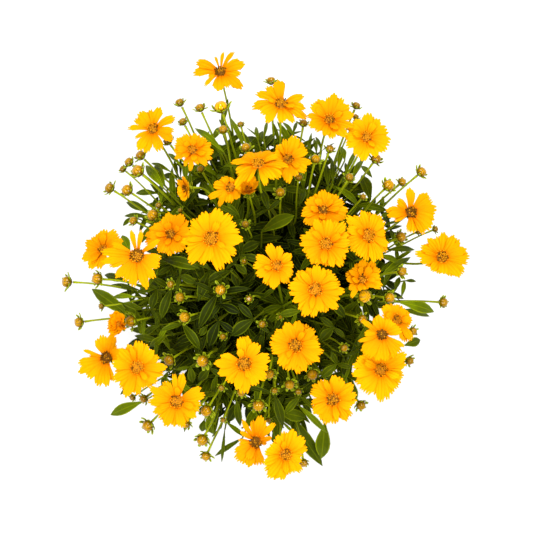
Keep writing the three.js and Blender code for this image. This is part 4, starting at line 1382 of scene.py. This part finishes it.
# The rays of each bloom: direction round the disc in degrees, reach and width.
rays_of = [
    [(17, 28, 11), (346, 24, 10), (317, 32, 11), (265, 25, 13), (294, 24, 7), (225, 26, 5),
     (209, 16, 6), (180, 30, 11), (154, 30, 12), (108, 22, 3), (84, 25, 4), (61, 29, 6),
     (35, 25, 7)],
    [(95, 30, 12), (123, 27, 9), (150, 29, 11), (184, 32, 11), (211, 25, 10), (234, 27, 10),
     (273, 24, 10), (298, 26, 8), (324, 32, 11), (349, 26, 10), (22, 26, 10)],
    [(80, 28, 9), (61, 27, 9), (93, 23, 7), (120, 24, 11), (147, 24, 10), (178, 24, 9),
     (208, 26, 10), (225, 24, 8), (255, 24, 9), (274, 25, 9), (302, 28, 11), (336, 26, 10),
     (9, 25, 10), (37, 25, 11)],
    [(73, 26, 10), (102, 24, 8), (126, 25, 10), (145, 24, 9), (175, 28, 7), (206, 21, 5),
     (238, 28, 10), (257, 27, 9), (290, 28, 10), (331, 26, 10), (351, 23, 8), (29, 27, 11)],
    [(87, 26, 11), (70, 24, 8), (54, 24, 10), (23, 24, 12), (346, 25, 11), (319, 26, 11),
     (292, 24, 10), (258, 27, 11), (238, 25, 9), (206, 24, 10), (184, 23, 10), (149, 22, 10),
     (121, 22, 10)],
    [(268, 24, 5), (245, 19, 5), (208, 20, 7), (185, 19, 8), (165, 19, 8), (141, 21, 8),
     (119, 19, 8), (97, 17, 8), (79, 18, 7), (65, 19, 4), (41, 18, 9), (14, 21, 9), (349, 22, 8),
     (330, 24, 6), (312, 24, 7), (292, 17, 6)],
    [(72, 27, 12), (52, 26, 10), (31, 24, 9), (358, 26, 9), (330, 22, 11), (295, 19, 10),
     (262, 29, 10), (238, 22, 8), (97, 22, 10), (130, 18, 12), (163, 17, 10), (194, 19, 9),
     (217, 22, 8)],
    [(170, 28, 8), (144, 25, 11), (123, 26, 10), (105, 26, 9), (91, 24, 8), (77, 25, 9),
     (58, 29, 11), (28, 27, 12), (353, 30, 12), (325, 27, 11), (304, 28, 9), (286, 30, 7),
     (247, 27, 7), (232, 36, 10), (208, 26, 12)],
    [(20, 12, 8), (72, 13, 8), (125, 10, 8), (170, 8, 7), (215, 10, 8), (262, 13, 8),
     (318, 13, 8)],
    [(202, 26, 6), (231, 24, 6), (259, 16, 10), (310, 14, 10), (169, 18, 9), (134, 14, 10),
     (86, 10, 9), (25, 11, 8), (212, 18, 7), (344, 11, 8)],
    [(5, 12, 8), (48, 12, 8), (92, 10, 8), (135, 10, 8), (180, 10, 8), (222, 10, 8), (262, 9, 8),
     (310, 10, 8)],
    [(93, 22, 9), (113, 20, 9), (144, 21, 11), (181, 22, 10), (199, 23, 9), (222, 24, 10),
     (243, 23, 9), (264, 23, 9), (285, 24, 9), (308, 23, 9), (332, 24, 10), (354, 24, 10),
     (23, 22, 10), (53, 22, 10), (74, 20, 8)],
    [(94, 25, 9), (143, 19, 9), (160, 17, 7), (181, 28, 8), (194, 29, 8), (209, 24, 6),
     (254, 24, 5), (274, 22, 11), (299, 26, 10), (323, 26, 12), (344, 25, 10), (8, 29, 12),
     (33, 26, 8), (50, 28, 10)],
    [(96, 22, 9), (77, 20, 8), (54, 23, 10), (33, 22, 10), (4, 20, 10), (340, 22, 9),
     (324, 22, 8), (308, 24, 9), (290, 23, 9), (273, 24, 8), (255, 22, 8), (240, 23, 9),
     (219, 20, 8), (198, 27, 9), (184, 26, 8), (164, 23, 8), (148, 20, 8), (132, 18, 9),
     (114, 19, 8)],
    [(75, 30, 12), (51, 30, 10), (110, 28, 12), (133, 29, 10), (153, 25, 9), (169, 26, 9),
     (186, 30, 9), (207, 28, 9), (227, 32, 10), (247, 27, 10), (265, 24, 8), (287, 33, 11),
     (306, 33, 10), (327, 29, 9), (354, 31, 11), (12, 28, 9), (32, 28, 9), (94, 25, 9)],
    [(49, 24, 10), (32, 24, 8), (85, 21, 10), (106, 18, 9), (135, 18, 8), (158, 21, 9),
     (179, 19, 8), (204, 24, 10), (236, 24, 11), (257, 22, 10), (279, 17, 9), (18, 24, 9),
     (349, 18, 7)],
    [(103, 26, 5), (80, 27, 5), (34, 27, 6), (352, 24, 8), (333, 25, 9), (305, 30, 9),
     (286, 35, 9), (261, 33, 9), (241, 30, 9), (226, 31, 8), (203, 30, 6), (190, 36, 8),
     (174, 36, 8), (155, 28, 6)],
    [(114, 27, 8), (96, 24, 9), (79, 24, 8), (63, 24, 8), (45, 29, 9), (22, 23, 9), (0, 23, 9),
     (339, 23, 9), (320, 24, 8), (306, 27, 9), (287, 24, 8), (268, 22, 9), (248, 22, 9),
     (232, 24, 9), (210, 24, 9), (193, 24, 8), (178, 26, 6), (164, 27, 8), (148, 23, 8),
     (131, 22, 9)],
    [(109, 25, 9), (92, 23, 9), (73, 22, 8), (60, 24, 9), (45, 22, 8), (28, 19, 8), (12, 19, 8),
     (356, 18, 7), (341, 20, 8), (326, 25, 9), (313, 22, 7), (299, 27, 9), (281, 27, 8),
     (264, 25, 9), (243, 24, 9), (222, 24, 9), (201, 25, 9), (184, 24, 9), (167, 24, 9),
     (146, 29, 9), (130, 24, 8)],
    [(83, 26, 10), (104, 22, 10), (131, 24, 10), (150, 23, 9), (163, 26, 9), (178, 30, 9),
     (196, 27, 8), (209, 22, 7), (228, 21, 8), (251, 18, 8), (272, 18, 10), (295, 23, 9),
     (310, 27, 9), (329, 28, 9), (350, 28, 7), (5, 30, 9), (20, 28, 9), (44, 28, 9), (60, 27, 9)],
    [(112, 23, 9), (82, 20, 8), (40, 18, 9), (4, 16, 9), (327, 18, 9), (298, 22, 8),
     (262, 24, 10), (238, 22, 8), (209, 22, 9), (179, 24, 9), (157, 22, 8)],
    [(91, 20, 8), (109, 17, 8), (133, 15, 8), (164, 18, 8), (184, 17, 8), (205, 15, 7),
     (219, 19, 6), (237, 24, 5), (264, 11, 8), (295, 11, 7), (334, 20, 8), (353, 18, 8),
     (12, 17, 8), (32, 20, 8), (57, 21, 8), (74, 19, 8)],
    [(86, 24, 9), (110, 22, 9), (134, 24, 10), (154, 23, 9), (172, 26, 9), (188, 25, 8),
     (209, 25, 8), (230, 25, 8), (248, 29, 9), (266, 27, 8), (283, 24, 8), (295, 24, 9),
     (317, 28, 9), (339, 25, 9), (355, 28, 9), (12, 26, 9), (32, 24, 9), (50, 24, 9),
     (68, 22, 8)],
    [(5, 7, 7), (30, 9, 9), (62, 12, 8), (85, 13, 9), (112, 11, 9), (140, 9, 8), (165, 8, 9),
     (192, 9, 8), (215, 10, 9), (243, 12, 8), (265, 13, 9), (292, 11, 8), (318, 9, 9),
     (340, 7, 8)],
    [(97, 25, 10), (116, 22, 9), (69, 25, 10), (46, 18, 6), (161, 26, 4), (173, 20, 5),
     (190, 30, 8), (206, 33, 10), (226, 28, 10), (253, 30, 11), (274, 30, 10), (290, 26, 6),
     (21, 20, 7), (356, 21, 7)],
    [(86, 27, 10), (67, 25, 9), (45, 24, 9), (25, 24, 9), (1, 30, 9), (343, 27, 9), (325, 25, 9),
     (307, 24, 9), (287, 22, 8), (269, 29, 9), (249, 32, 10), (230, 27, 8), (208, 27, 9),
     (190, 24, 9), (171, 26, 9), (150, 24, 9), (134, 26, 10), (113, 25, 9)],
    [(95, 28, 5), (77, 29, 9), (29, 28, 8), (13, 29, 8), (351, 24, 9), (337, 24, 8), (321, 25, 9),
     (300, 23, 8), (282, 28, 9), (264, 25, 9), (243, 27, 10), (222, 26, 8), (204, 26, 8),
     (182, 29, 8), (168, 25, 6), (153, 32, 7), (136, 24, 8), (121, 25, 8)],
    [(98, 26, 9), (82, 27, 10), (56, 24, 11), (14, 26, 11), (346, 24, 10), (327, 26, 10),
     (300, 24, 10), (271, 29, 11), (254, 26, 9), (230, 24, 10), (201, 27, 10), (180, 29, 9),
     (161, 24, 9)],
    [(81, 24, 11), (62, 23, 9), (42, 24, 9), (22, 23, 9), (3, 24, 9), (344, 29, 8), (326, 28, 8),
     (310, 24, 8), (292, 27, 8), (278, 28, 9), (263, 24, 8), (248, 26, 9), (232, 25, 10),
     (213, 20, 9), (193, 24, 9), (173, 25, 9), (157, 26, 9), (140, 24, 9), (114, 24, 11),
     (96, 21, 8)],
    [(100, 20, 9), (116, 18, 7), (143, 25, 5), (175, 17, 8), (195, 24, 4), (218, 26, 9),
     (237, 26, 9), (256, 26, 9), (276, 26, 9), (295, 25, 9), (314, 25, 8), (330, 24, 6),
     (18, 19, 9), (41, 17, 8), (66, 17, 8), (82, 17, 8)],
    [(134, 19, 10), (115, 18, 9), (96, 16, 8), (76, 17, 9), (54, 15, 8), (30, 16, 8), (0, 16, 8),
     (332, 15, 8), (304, 25, 9), (288, 25, 8), (155, 16, 9), (184, 15, 8), (231, 13, 8),
     (258, 13, 7)],
    [(269, 32, 9), (282, 32, 8), (255, 27, 8), (296, 27, 9), (309, 26, 8), (327, 24, 9),
     (346, 24, 9), (11, 26, 9), (31, 30, 10), (50, 25, 8), (68, 24, 9), (91, 24, 9), (115, 24, 9),
     (135, 25, 9), (153, 26, 9), (170, 28, 9), (188, 29, 9), (206, 28, 9), (222, 28, 8),
     (238, 28, 9)],
    [(83, 24, 9), (65, 24, 10), (121, 24, 10), (146, 25, 9), (160, 24, 8), (193, 24, 10),
     (215, 24, 10), (237, 24, 9), (253, 26, 9), (274, 24, 9), (302, 25, 8), (317, 24, 8),
     (335, 21, 8), (357, 23, 9), (11, 24, 8), (35, 25, 10), (24, 22, 7)],
    [(119, 27, 5), (95, 23, 7), (77, 29, 9), (64, 25, 6), (46, 29, 6), (171, 18, 3), (185, 17, 6),
     (205, 24, 8), (220, 27, 8), (238, 26, 9), (253, 26, 9), (267, 24, 9), (283, 24, 9),
     (356, 11, 5), (23, 13, 5)],
    [(74, 26, 12), (94, 23, 8), (43, 25, 11), (59, 24, 8), (18, 23, 9), (355, 17, 8),
     (336, 18, 7), (314, 24, 7), (297, 20, 7), (278, 20, 8), (260, 25, 9), (246, 27, 9),
     (231, 29, 9), (218, 26, 7), (199, 24, 9), (171, 21, 9), (148, 19, 8), (129, 19, 8),
     (113, 21, 8)],
]

ray_yellow, tree, shader = new_material("ray_golden_yellow", 0.6, 0.02)
lengthwise, _, along, own_tone = add_reading(tree, -1400)
clouds = add_mottling(tree, (-1400, -300), 90, 4)
stretched = add_node(tree, "ShaderNodeVectorMath", (-1200, 0), {"operation": "MULTIPLY"})
tree.links.new(lengthwise, stretched.inputs[0])
stretched.inputs[1].default_value = (24, 1.6, 1)
streaks = add_node(tree, "ShaderNodeTexNoise", (-1000, 0), Scale=1.0, Detail=3.0)
tree.links.new(stretched.outputs[0], streaks.inputs["Vector"])
streaks = streaks.outputs["Fac"]
fresh = add_ramp(tree, (-700, 400), along, (0.05, (0.62, 0.13, 0.000)), (0.3, (0.80, 0.26, 0.000)),
                 (0.62, (0.84, 0.350, 0.000)), (0.98, (0.86, 0.405, 0.000)))
old = add_ramp(tree, (-700, 100), along, (0.05, (0.52, 0.095, 0.000)),
               (0.4, (0.76, 0.205, 0.000)), (0.98, (0.83, 0.31, 0.000)))
colour = add_mix(tree, (-400, 300), own_tone, fresh, old)
colour = add_tint(tree, (-250, 300), colour, add_range(tree, (-700, -100), streaks, 0.45, 0.75),
                  0.35, (0.70, 0.19, 0.000))
colour = add_tint(tree, (-100, 300), colour, clouds, 0.18, (0.80, 0.30, 0.001))
tree.links.new(colour, shader.inputs["Base Color"])
add_bump(tree, shader, streaks, 0.3, 0.0005)

disc_colours, tree, shader = new_material("disc_florets", 0.6, 0.15)
_, _, along, own_tone = add_reading(tree, -1000)
pollen = add_mottling(tree, (-1000, -300), 700, 3)
light_ones = add_ramp(tree, (-550, 300), along, (0.0, (0.55, 0.17, 0.000)),
                      (0.6, (0.76, 0.28, 0.000)), (0.75, (0.40, 0.120, 0.000)),
                      (0.92, (0.92, 0.46, 0.000)))
dark_ones = add_ramp(tree, (-550, 0), along, (0.0, (0.08, 0.022, 0.000)),
                     (0.75, (0.02, 0.006, 0.000)), (0.97, (0.20, 0.075, 0.000)))
colour = add_mix(tree, (-300, 200), own_tone, light_ones, dark_ones)
colour = add_tint(tree, (-150, 200), colour, pollen, 0.25, (0.70, 0.30, 0.002))
tree.links.new(colour, shader.inputs["Base Color"])
add_bump(tree, shader, pollen, 0.3, 0.0003)


def pleated(x, y):
    """How high a ray stands across its width: its pleats, and a drop towards its margins."""
    return ray_pleat * cos(ray_pleats * pi * x) - ray_drop * x * x


ray = tongue(ray_columns, ray_rows, pleated, ray_thickness)


def toothed(draw):
    """The ray with its tip cut into teeth, each a little longer or shorter than the last."""
    kind = copy(ray)
    kind.points = ray.points.copy()
    tip = kind.points[:, 1] > 0.95
    tip_width = ray_rows[-1][1]
    slant = tip_slant * (draw() - 0.5)
    cupped = mix(*ray_cupping, draw())
    kind.points[:, 2] += cupped * kind.points[:, 0] ** 2 * kind.points[:, 1]
    longer = [tooth_spread * (draw() - 0.5) for _ in range(3)]
    for column in range(ray_columns + 1):
        share = column / ray_columns
        tooth = ray_teeth[abs(column - ray_columns // 2)] + longer[round(2 * share)]
        here = tip & (np.abs(ray.points[:, 0] / tip_width - (2 * share - 1)) < 0.08)
        kind.points[here, 1] = tooth + slant * (share - 0.5)
    kind.map = np.stack([ray.map[:, 0], kind.points[:, 1]], axis=1)
    return kind


draw = random_from(41)
rays_to_use = [toothed(draw) for _ in range(ray_kinds)]

floret = begin(bpy.ops.mesh.primitive_cone_add, vertices=5, radius1=0.62, radius2=0.8, depth=0.7,
               end_fill_type="NGON", location=(0, 0, 0.35))
pick("faces", is_top)
bpy.ops.mesh.extrude_region_move(TRANSFORM_OT_translate={"value": (0, 0, 0.3)})
bpy.ops.transform.resize(value=(1.45, 1.45, 1))
bpy.ops.mesh.inset(thickness=0.5)
bpy.ops.transform.translate(value=(0, 0, -0.25))
floret = Shape(floret)
floret.map = np.stack([np.full(len(floret.points), 0.5), floret.points[:, 2]], axis=1)

dome = begin(bpy.ops.mesh.primitive_uv_sphere_add, segments=20, ring_count=10, radius=1)
pick("corners", lambda corner: corner.co.z < -0.1)
bpy.ops.transform.resize(value=(0.6, 0.6, 0.4), center_override=(0, 0, 0))
dome = Shape(dome)
dome.map = np.full((len(dome.points), 2), 0.5)


def add_ray(pile, head, kind, turn, start, reach, rise, lift, droop, half_width, roll, tone):
    """Lays a ray from the disc outward, arched along its length."""
    share = np.linspace(0, 1, ray_steps)
    r = mix(start, reach, share)
    arch = reach * (ray_arch * np.sin(pi * share) - droop * share**2)
    line = np.stack([r * cos(turn), r * sin(turn), r * rise + ray_foot + lift * share + arch],
                    axis=1)
    side = np.array([sin(turn), -cos(turn), 0])
    pile.add(kind, head.put(laid_along(kind, line, side, half_width, roll=roll)), tone)


def add_disc(pile, head, disc, foot, darkness, draw):
    """The disc: a dome packed with tube flowers, the outer ones open and leaning out."""
    height = disc_height * disc
    pile.add(dome, head.put(dome.points * (disc, disc, height) + (0, 0, foot - dome_sinking)),
             mix(*dome_tone, darkness), 1)
    count = round(floret_packing * (disc / floret_gap) ** 2)
    for n in range(count):
        share = sqrt((n + 0.5) / count)
        turn = n * golden_turn
        out, round_it = np.array([cos(turn), sin(turn), 0]), np.array([-sin(turn), cos(turn), 0])
        lean = floret_lean * share**2 + lean_scatter * (draw() - 0.5)
        axis = sin(lean) * out + np.array([0, 0, cos(lean)])
        basis = np.stack([np.cross(round_it, axis), round_it, axis], axis=1)
        root = share * floret_ring * disc * out
        root[2] += foot - floret_sinking + height * sqrt(max(0, 1 - share**2))
        tall = mix(*floret_length, share) * mix(*floret_sizes, draw())
        wide = mix(*floret_width, share) * mix(*floret_sizes, draw())
        ring = max(0, 1 - abs(share - darkest_ring) / ring_reach)
        is_dark = draw() < dark_share + darkness**1.5 * mix(off_ring, 1, ring)
        tone = 1.0 if is_dark else light_scatter * draw()
        pile.add(floret, head.put(floret.points * (wide, wide, tall) @ basis.T + root), tone, 1)


for k, (x, y, z, across, tilt, leans_to, cup_angle) in enumerate(blooms):
    head = Head((x, y, z), across, facing_of(tilt, leans_to), k + 1)
    orange, darkness, inner_rays, droop = looks[k]
    draw = random_from(1500 + k)
    disc = disc_share * max(narrowest_bloom, across)
    rise = tan(radians(cup_angle))
    crumpling = faded_crumpling if k + 1 == faded_bloom else 1
    bloom = Pile()
    for n, (turn, reach, wide) in enumerate(rays_of[k]):
        kind = rays_to_use[int(draw() * ray_kinds)]
        lift = ray_lift + ray_stagger * (-1) ** n + lift_scatter * (draw() - 0.5)
        tip_droop = droop * mix(*droop_spread, draw())
        roll = crumpling * mix(-ray_roll, ray_roll, draw())
        add_ray(bloom, head, kind, radians(turn), 0.5 * disc, reach, rise, lift, tip_droop,
                ray_fullness * wide / 2, roll, kept_in(orange + orange_scatter * (draw() - 0.5)))
    first = 2 * pi * draw()
    for n in range(inner_rays):
        turn = first + (2 * n + 1 + 0.5 * (draw() - 0.5)) * pi / inner_rays
        reach = across / 2 * mix(*inner_reach, draw())
        kind = rays_to_use[int(draw() * ray_kinds)]
        steeper = rise + tan(radians(mix(*inner_rise, draw())))
        tip_droop = inner_droop * draw()
        half_width = inner_ray_width * mix(*inner_width, draw()) / 2
        roll = crumpling * mix(-inner_roll, inner_roll, draw())
        add_ray(bloom, head, kind, turn, 0.5 * disc, reach, steeper, inner_lift, tip_droop,
                half_width, roll, kept_in(orange + inner_orange * draw()))
    add_disc(bloom, head, disc, disc * rise + ray_foot + disc_lift, darkness, draw)
    finish_piece(bloom.build("bloom"), f"rays_and_disc_{k + 1:02d}", [ray_yellow, disc_colours],
                 "ray", f"bloom_{k + 1:02d}", smooth_angle=50)
